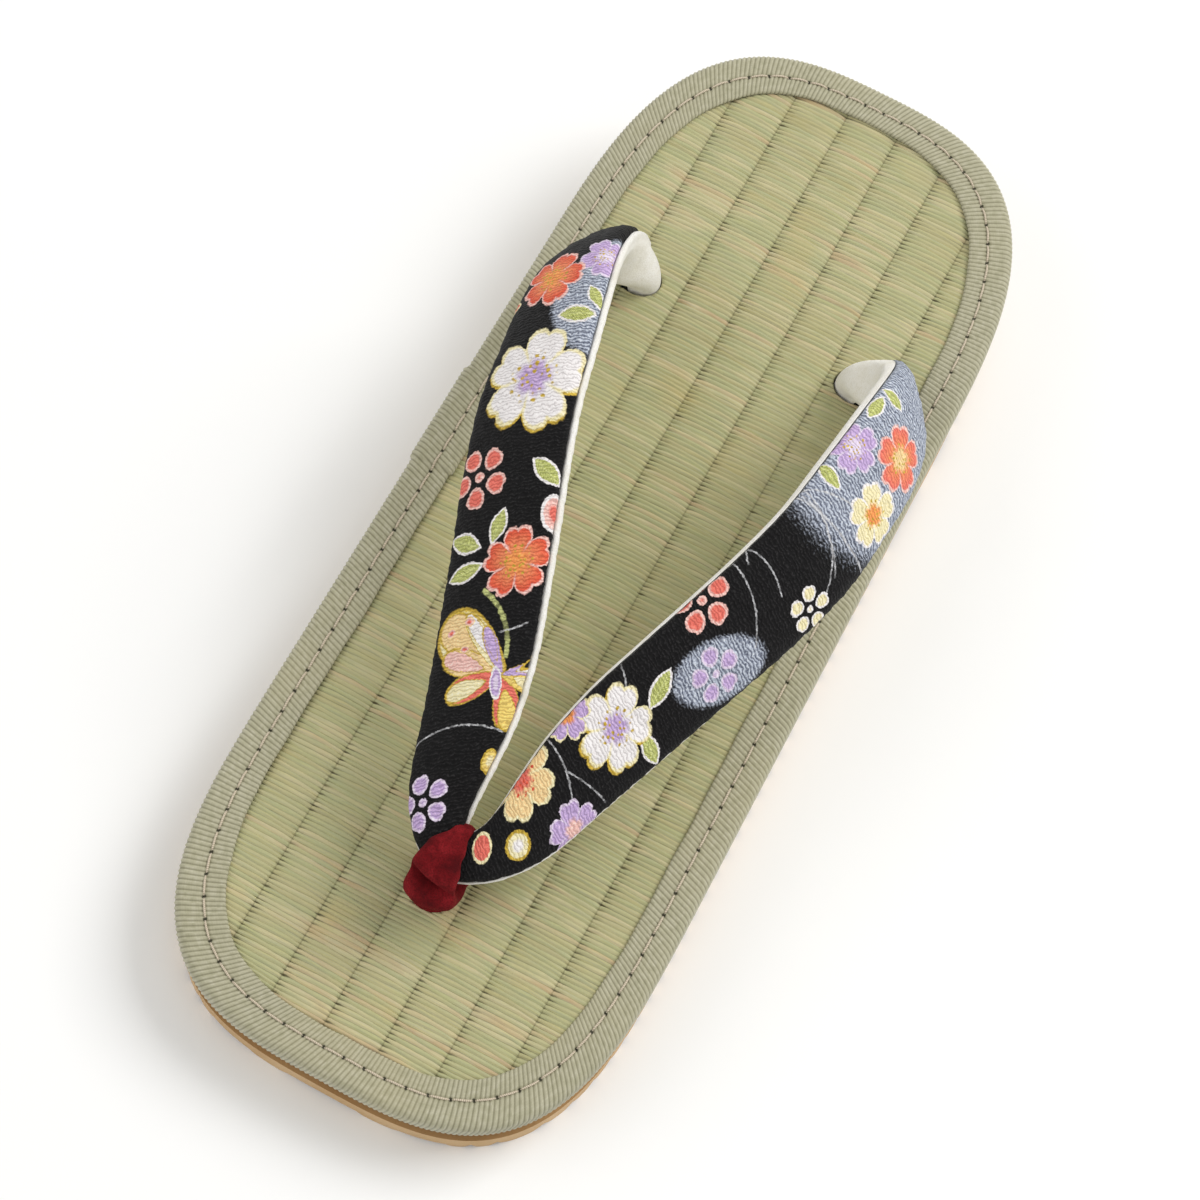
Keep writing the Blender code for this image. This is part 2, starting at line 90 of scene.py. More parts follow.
class Wire:
    """A number, colour or vector that flows between a finish's nodes."""

    def __init__(self, bench: "Bench", socket: bpy.types.NodeSocket) -> None:
        """Keeps the bench that it belongs to and the socket that it comes from."""
        self.bench = bench
        self.socket = socket

    def __add__(self, other: "Wire | float") -> "Wire":
        """Sum of the two."""
        return self.bench.math("ADD", self, other)

    def __sub__(self, other: "Wire | float") -> "Wire":
        """This less the other."""
        return self.bench.math("SUBTRACT", self, other)

    def __rsub__(self, other: float) -> "Wire":
        """The other less this."""
        return self.bench.math("SUBTRACT", other, self)

    def __mul__(self, other: "Wire | float") -> "Wire":
        """Product of the two."""
        return self.bench.math("MULTIPLY", self, other)

    def __truediv__(self, other: "Wire | float") -> "Wire":
        """This over the other."""
        return self.bench.math("DIVIDE", self, other)

    def absolute(self) -> "Wire":
        """Its size without its sign."""
        return self.bench.math("ABSOLUTE", self)

    def sine(self) -> "Wire":
        """Its sine."""
        return self.bench.math("SINE", self)

    def whole(self) -> "Wire":
        """The whole number below it."""
        return self.bench.math("FLOOR", self)

    def part(self) -> "Wire":
        """What is left over its whole number."""
        return self.bench.math("FRACT", self)

    def ripple(self) -> "Wire":
        """1 at whole numbers, down to 0 halfway between them."""
        return (self.part() - 0.5).absolute() * 2.0

    def most(self, other: "Wire | float") -> "Wire":
        """The greater of the two."""
        return self.bench.math("MAXIMUM", self, other)

    def fold(self, size: float) -> "Wire":
        """Runs up and down between 0 and size."""
        return self.bench.math("PINGPONG", self, size)

    def rise(self, low: float, high: float) -> "Wire":
        """0 up to low, 1 from high on, smooth between. A low over high turns it round."""
        return self.bench.rise(self, low, high)


class Bench:
    """One finish's node tree, with a short call for each kind of node that it needs."""

    def __init__(self, name: str) -> None:
        """Starts a finish with a bare shader of that name."""
        self.made = bpy.data.materials.new(name)
        self.made.use_nodes = True
        self.tree = self.made.node_tree
        self.surface = self.tree.nodes["Principled BSDF"]
        self.object_place: Wire | None = None

    def node(self, kind: str, **settings: object) -> bpy.types.Node:
        """Adds a node and sets what the keywords say on it."""
        made = self.tree.nodes.new(kind)
        for name, value in settings.items():
            setattr(made, name, value)
        return made

    def feed(self, socket: bpy.types.NodeSocket, value: object) -> None:
        """Links a wire to an input, or writes a plain value there."""
        if isinstance(value, Wire):
            self.tree.links.new(value.socket, socket)
        elif isinstance(value, tuple) and socket.type == "RGBA":
            socket.default_value = (*value[:3], 1.0)
        else:
            socket.default_value = value

    def math(self, operation: str, *terms: "Wire | float") -> Wire:
        """One sum on numbers."""
        made = self.node("ShaderNodeMath", operation=operation)
        for socket, term in zip(made.inputs, terms):
            self.feed(socket, term)
        return Wire(self, made.outputs[0])

    def rise(self, value: Wire, low: float, high: float) -> Wire:
        """A smooth step from 0 at low to 1 at high."""
        made = self.node("ShaderNodeMapRange", interpolation_type="SMOOTHSTEP")
        self.feed(made.inputs["Value"], value)
        start, end, first, last = (low, high, 0.0, 1.0) if low < high else (high, low, 1.0, 0.0)
        made.inputs["From Min"].default_value = start
        made.inputs["From Max"].default_value = end
        made.inputs["To Min"].default_value = first
        made.inputs["To Max"].default_value = last
        return Wire(self, made.outputs[0])

    def place(self) -> Wire:
        """The place on the object, in metres."""
        if self.object_place is None:
            made = self.node("ShaderNodeTexCoord")
            self.object_place = Wire(self, made.outputs["Object"])
        return self.object_place

    def chart(self, layer: str) -> Wire:
        """The piece's own chart of its surface, by the layer's name."""
        made = self.node("ShaderNodeUVMap", uv_map=layer)
        return Wire(self, made.outputs[0])

    def split(self, vector: Wire) -> tuple[Wire, Wire, Wire]:
        """The three shares of a vector."""
        made = self.node("ShaderNodeSeparateXYZ")
        self.feed(made.inputs[0], vector)
        return tuple(Wire(self, socket) for socket in made.outputs)

    def join(self, across: "Wire | float", along: "Wire | float", up: "Wire | float") -> Wire:
        """A vector from three numbers."""
        made = self.node("ShaderNodeCombineXYZ")
        for socket, value in zip(made.inputs, (across, along, up)):
            self.feed(socket, value)
        return Wire(self, made.outputs[0])

    def length(self, vector: Wire) -> Wire:
        """How long a vector is."""
        made = self.node("ShaderNodeVectorMath", operation="LENGTH")
        self.feed(made.inputs[0], vector)
        return Wire(self, made.outputs["Value"])

    def stretched(self, vector: Wire, scale: Triple) -> Wire:
        """A vector with each share scaled by its own number."""
        made = self.node("ShaderNodeVectorMath", operation="MULTIPLY")
        self.feed(made.inputs[0], vector)
        made.inputs[1].default_value = scale
        return Wire(self, made.outputs[0])

    def shifted(self, vector: Wire, shift: Wire) -> Wire:
        """A vector moved by another."""
        made = self.node("ShaderNodeVectorMath", operation="ADD")
        self.feed(made.inputs[0], vector)
        self.feed(made.inputs[1], shift)
        return Wire(self, made.outputs[0])

    def texture(self, kind: str, vector: Wire, scale: float | Triple,
                **plain: float) -> bpy.types.Node:
        """Adds a texture over a vector, at one scale or at one for each share."""
        if isinstance(scale, tuple):
            vector, scale = self.stretched(vector, scale), 1.0
        made = self.node(kind)
        self.feed(made.inputs["Vector"], vector)
        for name, value in {"Scale": scale, **plain}.items():
            made.inputs[name].default_value = value
        return made

    def noise(self, vector: Wire, scale: float | Triple, detail: float = 2.0,
              roughness: float = 0.5) -> Wire:
        """Soft noise from 0 to 1 round 0.5."""
        made = self.texture("ShaderNodeTexNoise", vector, scale, Detail=detail,
                            Roughness=roughness)
        return Wire(self, made.outputs["Fac"])

    def cells(self, vector: Wire, scale: float | Triple, scatter: float = 1.0) -> Wire:
        """How far the nearest of many scattered points is, in cells."""
        made = self.texture("ShaderNodeTexVoronoi", vector, scale, Randomness=scatter)
        return Wire(self, made.outputs["Distance"])

    def chance(self, value: Wire) -> Wire:
        """A random share for each different value."""
        made = self.node("ShaderNodeTexWhiteNoise", noise_dimensions="1D")
        self.feed(made.inputs["W"], value)
        return Wire(self, made.outputs["Value"])

    def ramp(self, value: Wire, stops: Sequence[tuple[float, Triple]]) -> Wire:
        """A colour for each value from 0 to 1.

        Args:
            value: The wire that picks the colour.
            stops: Places from 0 to 1 with their colours, in order.

        Returns:
            The colour.
        """
        made = self.node("ShaderNodeValToRGB")
        ramp = made.color_ramp
        ramp.elements.remove(ramp.elements[1])
        ramp.elements[0].position = stops[0][0]
        ramp.elements[0].color = (*stops[0][1], 1.0)
        for spot, colour in stops[1:]:
            ramp.elements.new(spot).color = (*colour, 1.0)
        self.feed(made.inputs[0], value)
        return Wire(self, made.outputs[0])

    def mix(self, share: "Wire | float", first: object, second: object,
            blend: str = "MIX") -> Wire:
        """A mix of two colours: share 0 gives the first."""
        made = self.node("ShaderNodeMix", data_type="RGBA", blend_type=blend)
        made.clamp_factor = True
        self.feed(made.inputs[0], share)
        self.feed(made.inputs[6], first)
        self.feed(made.inputs[7], second)
        return Wire(self, made.outputs[2])

    def bump(self, height: Wire, depth: float, under: Wire | None = None) -> Wire:
        """A normal from a height of 0 to 1 that stands for a depth in metres."""
        made = self.node("ShaderNodeBump")
        made.inputs["Strength"].default_value = 1.0
        made.inputs["Distance"].default_value = depth
        self.feed(made.inputs["Height"], height)
        if under is not None:
            self.feed(made.inputs["Normal"], under)
        return Wire(self, made.outputs[0])

    def close(self, colour: Wire, roughness: "Wire | float", normal: Wire | None,
              **plain: object) -> bpy.types.Material:
        """Links up the shader and gives the finished material.

        Args:
            colour: Its colour.
            roughness: Its roughness, as a wire or a number.
            normal: Its relief, or None.
            plain: Numbers and colours set on the shader's own inputs, with _ for a space.

        Returns:
            The material.
        """
        self.feed(self.surface.inputs["Base Color"], colour)
        self.feed(self.surface.inputs["Roughness"], roughness)
        if normal is not None:
            self.feed(self.surface.inputs["Normal"], normal)
        for name, value in plain.items():
            self.feed(self.surface.inputs[name.replace("_", " ")], value)
        return self.made


@dataclass(frozen=True)
class RushFinish:
    """Woven rush: each strand its own tone, streaked along, with painted shade where strands meet
    and along the seams.
    """

    chart: str = "strand"
    tones: tuple[tuple[float, Triple], ...] = (
        (0.00, (146, 141, 102)), (0.16, (165, 161, 121)), (0.34, (176, 171, 134)),
        (0.50, (168, 170, 132)), (0.64, (188, 181, 146)), (0.78, (182, 162, 130)),
        (0.88, (196, 191, 160)), (1.00, (160, 157, 118)))
    # Colour of the painted shade between the strands and along the seams
    gap_shade_tone: Triple = (92, 86, 56)

    def make(self) -> bpy.types.Material:
        """Builds the finish.

        Returns:
            The material. Its chart holds the band across and the strand along.
        """
        bench = Bench("rush")
        chart = bench.chart(self.chart)
        band, strand, _ = bench.split(chart)
        number = strand.whole()
        within = strand.part()
        place_x, _, _ = bench.split(bench.place())
        drift = bench.noise(bench.join(place_x * 55.0, strand * 0.16, 0.0), 1.0, 3.0)
        own = bench.chance(number) * 0.6 + bench.chance(number * 1.7 + band.whole() * 13.0) * 0.4
        pick = (own - 0.5) * 0.50 + 0.5 + (drift - 0.5) * 0.75
        tone = bench.ramp(pick, [(spot, tint(*colour)) for spot, colour in self.tones])
        patch = bench.noise(bench.place(), (60.0, 45.0, 45.0), 3.0)
        tone = bench.mix(patch.rise(0.55, 0.78) * 0.35, tone, tint(188, 166, 112))
        tone = bench.mix(patch.rise(0.45, 0.24) * 0.35, tone, tint(158, 163, 124))
        streak = bench.noise(bench.join(place_x * 130.0, strand * 5.0, 3.0), 1.0, 4.0, 0.65)
        tone = bench.mix(streak.rise(0.30, 0.75), tone, tint(214, 208, 178), "SOFT_LIGHT")
        tone = bench.mix(streak.rise(0.62, 0.80) * 0.25, tone, tint(150, 126, 94))
        # Painted shade: darker towards each strand's edges where the strands meet, in wider
        # wedges near the seams
        edge = (within - 0.5).absolute() * 2.0
        start = band.part()
        near = start.rise(0.20, 0.0).most((1.0 - start).rise(0.09, 0.0) * 0.7)
        lone = bench.chance((strand + 0.5).whole() * 3.0 + (band + 0.5).whole() * 7.0)
        wide = edge + near * (lone * 0.20 + 0.06)
        deep = bench.chance((strand + 0.5).whole() + 71.0) * 0.45 + 0.20
        tone = bench.mix(wide.rise(0.74, 1.04) * (deep + near * lone * 0.5), tone,
                         tint(*self.gap_shade_tone))
        # Painted shade in the seam's groove
        off_seam = (start - 0.5).absolute() * -2.0 + 1.0
        tone = bench.mix(off_seam.rise(0.05, 0.0) * 0.35, tone, tint(*self.gap_shade_tone))
        fibre = bench.noise(bench.join(place_x * 90.0, strand * 9.0, 1.0), 1.0, 4.0, 0.6)
        return bench.close(tone, fibre * 0.25 + 0.48, bench.bump(fibre, 0.00006),
                           Sheen_Weight=0.12, Specular_IOR_Level=0.35)


@dataclass(frozen=True)
class TapeFinish:
    """Sage ribbed tape with needle holes along its seam, and painted shade between its ribs, in
    its holes and along its seam.
    """

    rib_pitch: float
    rib_slant: float
    stitch_pitch: float
    seam_place: float
    chart: str = "tape"

    def make(self) -> bpy.types.Material:
        """Builds the finish.

        Returns:
            The material. Its chart runs in millimetres along and across the tape.
        """
        bench = Bench("binding_tape")
        along, across, _ = bench.split(bench.chart(self.chart))
        rib = (along + across * self.rib_slant) / self.rib_pitch
        wave = rib.ripple()
        thread = bench.noise(bench.join(rib.whole() * 7.1, across * 0.9, 0.0), 1.0, 2.0)
        fine = bench.noise(bench.join(along * 5.0, across * 9.0, 0.0), 1.0, 3.0, 0.6)
        tone = bench.ramp(thread, [
            (0.25, tint(163, 160, 132)), (0.5, tint(177, 173, 146)), (0.75, tint(190, 186, 162))])
        # Painted shade in the valleys between the ribs
        tone = bench.mix(wave.rise(0.60, 0.05) * 0.62, tone, tint(104, 100, 74))
        tone = bench.mix(fine.rise(0.5, 0.8) * 0.35, tone, tint(198, 196, 166))
        large = bench.noise(bench.place(), (30.0, 30.0, 30.0), 3.0)
        tone = bench.mix(large.rise(0.5, 0.8) * 0.25, tone, tint(188, 178, 138))
        # Painted shade: the needle holes near black
        step = (along / self.stitch_pitch).part() - 0.5
        spot = bench.join(step * self.stitch_pitch / 0.50, (across - self.seam_place) / 0.46, 0.0)
        tone = bench.mix(bench.length(spot).rise(1.05, 0.55), tone, tint(20, 18, 12))
        # Painted shade along the stitch line
        line = (across - self.seam_place).absolute()
        tone = bench.mix(line.rise(0.75, 0.15) * 0.30, tone, tint(96, 92, 62))
        weave = ((across * 14.0).sine() * 0.25 + fine) * 0.6
        return bench.close(tone, 0.72, bench.bump(weave, 0.00005), Sheen_Weight=0.25,
                           Sheen_Roughness=0.5, Specular_IOR_Level=0.3)


@dataclass(frozen=True)
class ThreadFinish:
    """Beige sewing thread with its twist and painted shade in the grooves between its plies."""

    chart: str = "thread"

    def make(self) -> bpy.types.Material:
        """Builds the finish."""
        bench = Bench("sewing_thread")
        along, around, _ = bench.split(bench.chart(self.chart))
        ply = (along * 2.2 + around).fold(0.5) * 2.0
        # Painted shade in the grooves between the plies
        tone = bench.mix(ply.rise(0.45, 0.0) * 0.6, tint(214, 200, 176), tint(120, 98, 74))
        return bench.close(tone, 0.6, bench.bump(ply, 0.00008), Sheen_Weight=0.2)


@dataclass(frozen=True)
class FoamFinish:
    """Cream wedge foam, finely pored with painted shade in its pores, a little darker towards its
    bottom.
    """

    def make(self) -> bpy.types.Material:
        """Builds the finish."""
        bench = Bench("wedge_foam")
        _, _, up = bench.split(bench.place())
        pores = bench.cells(bench.place(), 1900.0)
        cloud = bench.noise(bench.place(), 45.0, 4.0)
        tone = bench.mix(cloud.rise(0.35, 0.75), tint(229, 220, 204), tint(214, 202, 182))
        # Painted shade in the pores
        tone = bench.mix(pores.rise(0.34, 0.10) * 0.22, tone, tint(168, 152, 128))
        # A little darker and warmer towards the wedge's bottom
        tone = bench.mix(up.rise(0.0075, 0.0052) * 0.35, tone, tint(198, 178, 146))
        grain = bench.noise(bench.place(), 900.0, 3.0)
        return bench.close(tone, 0.62, bench.bump(pores * 0.6 + grain * 0.5, 0.00009),
                           Specular_IOR_Level=0.3)


@dataclass(frozen=True)
class RubberFinish:
    """Tan sponge rubber: painted shade up in its grooves, lighter and rubbed on its band."""

    name: str
    base: Triple
    worn: Triple
    # Colour of the dark specks and of the painted shade up in the grooves
    deep: Triple
    depth: float

    def make(self) -> bpy.types.Material:
        """Builds the finish. Depth is how far up the grooves reach over the floor."""
        bench = Bench(self.name)
        _, _, up = bench.split(bench.place())
        cloud = bench.noise(bench.place(), 60.0, 5.0, 0.6)
        specks = bench.noise(bench.place(), 2600.0, 2.0)
        tone = bench.mix(cloud.rise(0.35, 0.70), tint(*self.base), tint(*self.worn))
        tone = bench.mix(specks.rise(0.58, 0.72) * 0.35, tone, tint(*self.deep))
        # Painted shade: darker the higher up to depth over the floor, filling the grooves; on the
        # band only the top of its wall darkens a little
        tone = bench.mix(up.rise(self.depth * 0.15, self.depth) * 0.55, tone, tint(*self.deep))
        grain = bench.noise(bench.place(), 1500.0, 3.0, 0.65)
        return bench.close(tone, cloud * 0.2 + 0.62, bench.bump(grain, 0.00010),
                           Specular_IOR_Level=0.3)


@dataclass(frozen=True)
class VelvetFinish:
    """Short-napped velvet: painted sheen in pale patches of its nap, painted shade in dark
    patches and in the fine pile.
    """

    name: str
    nap: Triple
    # Colour of the painted sheen, also the shader's sheen tint
    brushed_sheen: Triple
    shade: Triple
    patch_scale: float
    sheen: float

    def make(self) -> bpy.types.Material:
        """Builds the finish."""
        bench = Bench(self.name)
        patch = bench.noise(bench.place(), self.patch_scale, 4.0, 0.6)
        pile = bench.noise(bench.place(), 3200.0, 3.0, 0.7)
        # Painted sheen: pale patches of nap
        tone = bench.mix(patch.rise(0.42, 0.68), tint(*self.nap), tint(*self.brushed_sheen))
        # Painted shade: dark patches, and dark specks in the fine pile
        tone = bench.mix(patch.rise(0.46, 0.28) * 0.7, tone, tint(*self.shade))
        tone = bench.mix(pile.rise(0.52, 0.40) * 0.5, tone, tint(*self.shade))
        soft_relief = bench.bump(patch, 0.0005)
        return bench.close(tone, 0.9, bench.bump(pile, 0.00022, soft_relief),
                           Sheen_Weight=self.sheen, Sheen_Roughness=0.4,
                           Sheen_Tint=tint(*self.brushed_sheen), Specular_IOR_Level=0.15)


@dataclass(frozen=True)
class FloorFinish:
    """Matt white paper of the studio floor."""

    def make(self) -> bpy.types.Material:
        """Builds the finish."""
        bench = Bench("studio_floor")
        cloud = bench.noise(bench.place(), 3.0, 2.0)
        tone = bench.mix(cloud, tint(244, 244, 243), tint(248, 248, 247))
        return bench.close(tone, 0.85, None, Specular_IOR_Level=0.1)


# ---------------------------------------------------------------- the print of the crepe


class Dye(Enum):
    """Colours of the print."""

    INK = (9, 8, 9)
    WHITE = (240, 235, 234)
    SILVER = (196, 196, 198)
    GOLD = (196, 164, 62)
    CREAM = (240, 228, 178)
    PEACH = (240, 205, 148)
    YELLOW = (236, 204, 112)
    CORAL = (228, 112, 98)
    RED = (222, 86, 62)
    EMBER = (234, 134, 92)
    ORANGE = (240, 150, 84)
    PINK = (240, 190, 180)
    LAVENDER = (190, 164, 210)
    LILAC = (222, 206, 228)
    LEAF = (160, 166, 84)
    LEAF_PALE = (200, 205, 134)
    MIST = (96, 104, 124)
    MIST_PALE = (196, 203, 216)

    @property
    def light(self) -> Triple:
        """The colour as linear shares."""
        return tint(*self.value)


class Cloth:
    """The print's place on the flat cut cloth, in millimetres, with its threads' wander."""

    def __init__(self, bench: Bench, chart: str, rib_turn: float, rib_pitch: float) -> None:
        """Reads the cloth's chart, lays its ribs and lets them pull the print's edges about.

        Args:
            bench: The finish's bench.
            chart: The chart's name.
            rib_turn: The direction of the ribs on the cloth, in degrees.
            rib_pitch: From rib to rib, in mm.
        """
        self.bench = bench
        self.flat = bench.chart(chart)
        x, y, _ = bench.split(self.flat)
        sway = bench.noise(self.flat, (0.55, 0.55, 1.0), 3.0, 0.6)
        turn = math.radians(rib_turn)
        over = y * math.cos(turn) - x * math.sin(turn) + sway * 2.4
        self.ridge = (over / rib_pitch).ripple()
        tug = bench.noise(self.flat, (1.4, 1.4, 1.0), 3.0, 0.7) - 0.5
        pull = bench.noise(self.flat, (1.1, 2.3, 1.0)) - 0.5
        self.spot = bench.shifted(self.flat, bench.join(tug * 0.75, pull * 0.75, 0.0))

    def local(self, across: float, along: float, turn: float,
              size: tuple[float, float]) -> Wire:
        """The place seen from a motif's middle, in sizes of the motif.

        Args:
            across: The middle's place across the cloth, in mm.
            along: The middle's place along the cloth, in mm.
            turn: How far the motif is turned, in degrees.
            size: Its half sizes, in mm.

        Returns:
            The local place as a vector.
        """
        made = self.bench.node("ShaderNodeMapping", vector_type="TEXTURE")
        self.bench.feed(made.inputs["Vector"], self.spot)
        made.inputs["Location"].default_value = (across, along, 0.0)
        made.inputs["Rotation"].default_value = (0.0, 0.0, math.radians(turn))
        made.inputs["Scale"].default_value = (size[0], size[1], 1.0)
        return Wire(self.bench, made.outputs[0])


@dataclass(frozen=True)
class Motif:
    """One printed form: its middle on the cloth and its size in mm, its turn in degrees."""

    across: float
    along: float
    size: float
    turn: float

    def local(self, cloth: Cloth, slim: float = 1.0) -> Wire:
        """The place on the cloth seen from the motif's middle, in its own sizes."""
        return cloth.local(self.across, self.along, self.turn, (self.size, self.size * slim))

    def paint(self, cloth: Cloth, under: Wire) -> Wire:
        """Lays the motif over what is under it.

        Args:
            cloth: The cloth's chart.
            under: The colour so far.

        Returns:
            The colour with the motif on it.
        """
        raise NotImplementedError

    def touches(self, area: np.ndarray) -> bool:
        """Whether the motif reaches any of these places on the cloth."""
        away = np.hypot(area[:, 0] - self.across, area[:, 1] - self.along)
        return bool(np.any(away < self.size * 1.4 + PRINT_MARGIN))


@dataclass(frozen=True)
class Blossom(Motif):
    """Five joined petals, notched at their tips, with a dotted heart."""

    heart: Dye
    petal: Dye
    tip: Dye
    rim: Dye
    dots: Dye | None = None
    petals: int = 5

    def paint(self, cloth: Cloth, under: Wire) -> Wire:
        """Lays the blossom over what is under it."""
        bench = cloth.bench
        local = self.local(cloth)
        x, y, _ = bench.split(local)
        reach = bench.length(local)
        petal = (bench.math("ARCTAN2", y, x) * (self.petals / math.tau)).fold(0.5)
        edge = bench.ramp(petal, [(0.0, (0.90,) * 3), (0.09, (0.99,) * 3), (0.24, (1.0,) * 3),
                                  (0.38, (0.88,) * 3), (0.50, (0.66,) * 3)])
        share = reach / Wire(bench, edge.socket)
        tone = bench.ramp(share, [
            (0.0, self.heart.light), (0.26, self.heart.light), (0.44, self.petal.light),
            (0.88, self.tip.light), (0.93, self.rim.light), (1.0, self.rim.light)])
        vein = (1.0 - petal.rise(0.42, 0.50) * share.rise(0.35, 0.75))
        tone = bench.mix(vein, self.rim.light, tone)
        if self.dots is not None:
            dot = bench.cells(local, (7.5, 7.5, 1.0), 0.55)
            seen = dot.rise(0.42, 0.24) * share.rise(0.58, 0.44)
            tone = bench.mix(seen, tone, self.dots.light)
        return bench.mix(share.rise(1.02, 0.97), under, tone)


@dataclass(frozen=True)
class OpenFlower(Motif):
    """Five separate petals round a small eye."""

    petal: Dye
    rim: Dye
    petals: int = 5

    def paint(self, cloth: Cloth, under: Wire) -> Wire:
        """Lays the flower over what is under it."""
        bench = cloth.bench
        local = self.local(cloth)
        x, y, _ = bench.split(local)
        reach = bench.length(local)
        swing = (bench.math("ARCTAN2", y, x) * (self.petals / math.tau)).fold(0.5)
        angle = swing * (math.tau / self.petals)
        ahead = bench.math("COSINE", angle) * reach
        aside = angle.sine() * reach
        taper = ahead * 0.16 + 0.22
        share = bench.length(bench.join((ahead - 0.64) / 0.34, aside / taper, 0.0))
        share = share + (0.30 - aside * 2.2).most(0.0) * ahead.rise(0.80, 1.0) * 0.6
        tone = bench.ramp(share, [(0.0, self.petal.light), (0.66, self.petal.light),
                                  (0.82, self.rim.light), (1.0, self.rim.light)])
        under = bench.mix(share.rise(1.04, 0.96), under, tone)
        eye = bench.ramp(reach * 5.0, [(0.0, self.petal.light), (0.5, self.rim.light)])
        return bench.mix(reach.rise(0.17, 0.14), under, eye)


@dataclass(frozen=True)
class Leaf(Motif):
    """A pointed leaf with slanted veins and a pale rim."""

    slim: float = 0.48
    body: Dye = Dye.LEAF
    pale: Dye = Dye.LEAF_PALE
    rim: Dye = Dye.WHITE

    def paint(self, cloth: Cloth, under: Wire) -> Wire:
        """Lays the leaf over what is under it."""
        bench = cloth.bench
        local = self.local(cloth, self.slim)
        x, y, _ = bench.split(local)
        width = y.absolute()
        share = width + x * x
        veins = (x * 9.0 - width * 4.0).ripple()
        tone = bench.mix(veins.rise(0.35, 0.75), self.body.light, self.pale.light)
        tone = bench.mix(width.rise(0.10, 0.03), tone, self.pale.light)
        tone = bench.mix(share.rise(0.70, 0.80), tone, self.rim.light)
        return bench.mix(share.rise(1.03, 0.96), under, tone)


@dataclass(frozen=True)
class Petal(Motif):
    """One rounded shape with a rim, such as a loose petal or a part of a wing."""

    slim: float
    heart: Dye
    body: Dye
    rim: Dye
    rim_place: float = 0.82
    point: float = 0.0

    def paint(self, cloth: Cloth, under: Wire) -> Wire:
        """Lays the petal over what is under it. Point draws in one end."""
        bench = cloth.bench
        local = self.local(cloth, self.slim)
        if self.point:
            x, y, _ = bench.split(local)
            local = bench.join(x, y / (x * self.point + 1.0).most(0.2), 0.0)
        share = bench.length(local)
        tone = bench.ramp(share, [
            (0.0, self.heart.light), (0.30, self.heart.light), (0.52, self.body.light),
            (self.rim_place - 0.06, self.body.light), (self.rim_place, self.rim.light)])
        return bench.mix(share.rise(1.03, 0.96), under, tone)


@dataclass(frozen=True)
class Arc(Motif):
    """A thin silver line on part of a circle, broken by the crepe."""

    span: float = 60.0
    width: float = 0.23
    dye: Dye = Dye.SILVER

    def touches(self, area: np.ndarray) -> bool:
        """Whether the line comes near any of these places on the cloth."""
        away = area - np.array([self.across, self.along])
        off = np.abs(np.hypot(away[:, 0], away[:, 1]) - self.size)
        aside = np.arctan2(away[:, 1], away[:, 0]) - math.radians(self.turn)
        aside = np.abs((aside + math.pi) % math.tau - math.pi)
        return bool(np.any((off < PRINT_MARGIN) & (aside < math.radians(self.span / 2) + 0.2)))

    def paint(self, cloth: Cloth, under: Wire) -> Wire:
        """Lays the line over what is under it. Turn is the middle of the span."""
        bench = cloth.bench
        local = cloth.local(self.across, self.along, self.turn, (1.0, 1.0))
        x, y, _ = bench.split(local)
        off = (bench.length(local) - self.size).absolute()
        angle = bench.math("ARCTAN2", y, x)
        half = math.radians(self.span / 2)
        seen = off.rise(self.width, self.width * 0.45) * angle.absolute().rise(half + 0.03, half)
        worn = bench.noise(bench.join(angle * self.size, self.across, 0.0), 0.9, 2.0)
        return bench.mix(seen * (worn.rise(0.36, 0.58) * 0.55 + 0.30), under, self.dye.light)


@dataclass(frozen=True)
class Mist(Motif):
    """A cloud of grey blue with a ragged edge."""

    slim: float
    body: Dye = Dye.MIST
    pale: Dye = Dye.MIST_PALE

    def paint(self, cloth: Cloth, under: Wire) -> Wire:
        """Lays the cloud over what is under it."""
        bench = cloth.bench
        local = self.local(cloth, self.slim)
        rag = bench.noise(cloth.flat, 1.3, 3.0, 0.7)
        share = bench.length(local) + (rag - 0.5) * 0.30 + cloth.ridge * 0.05
        grain = bench.noise(cloth.flat, (2.0, 2.0, 1.0))
        # Paler on the rib crests: partly the print's streaks, partly painted highlight on the
        # crests
        thread = grain.rise(0.30, 0.70) * 0.5 + cloth.ridge.rise(0.75, 0.20) * 0.5
        tone = bench.mix(thread, self.body.light, self.pale.light)
        return bench.mix(share.rise(1.06, 0.86) * 0.94, under, tone)


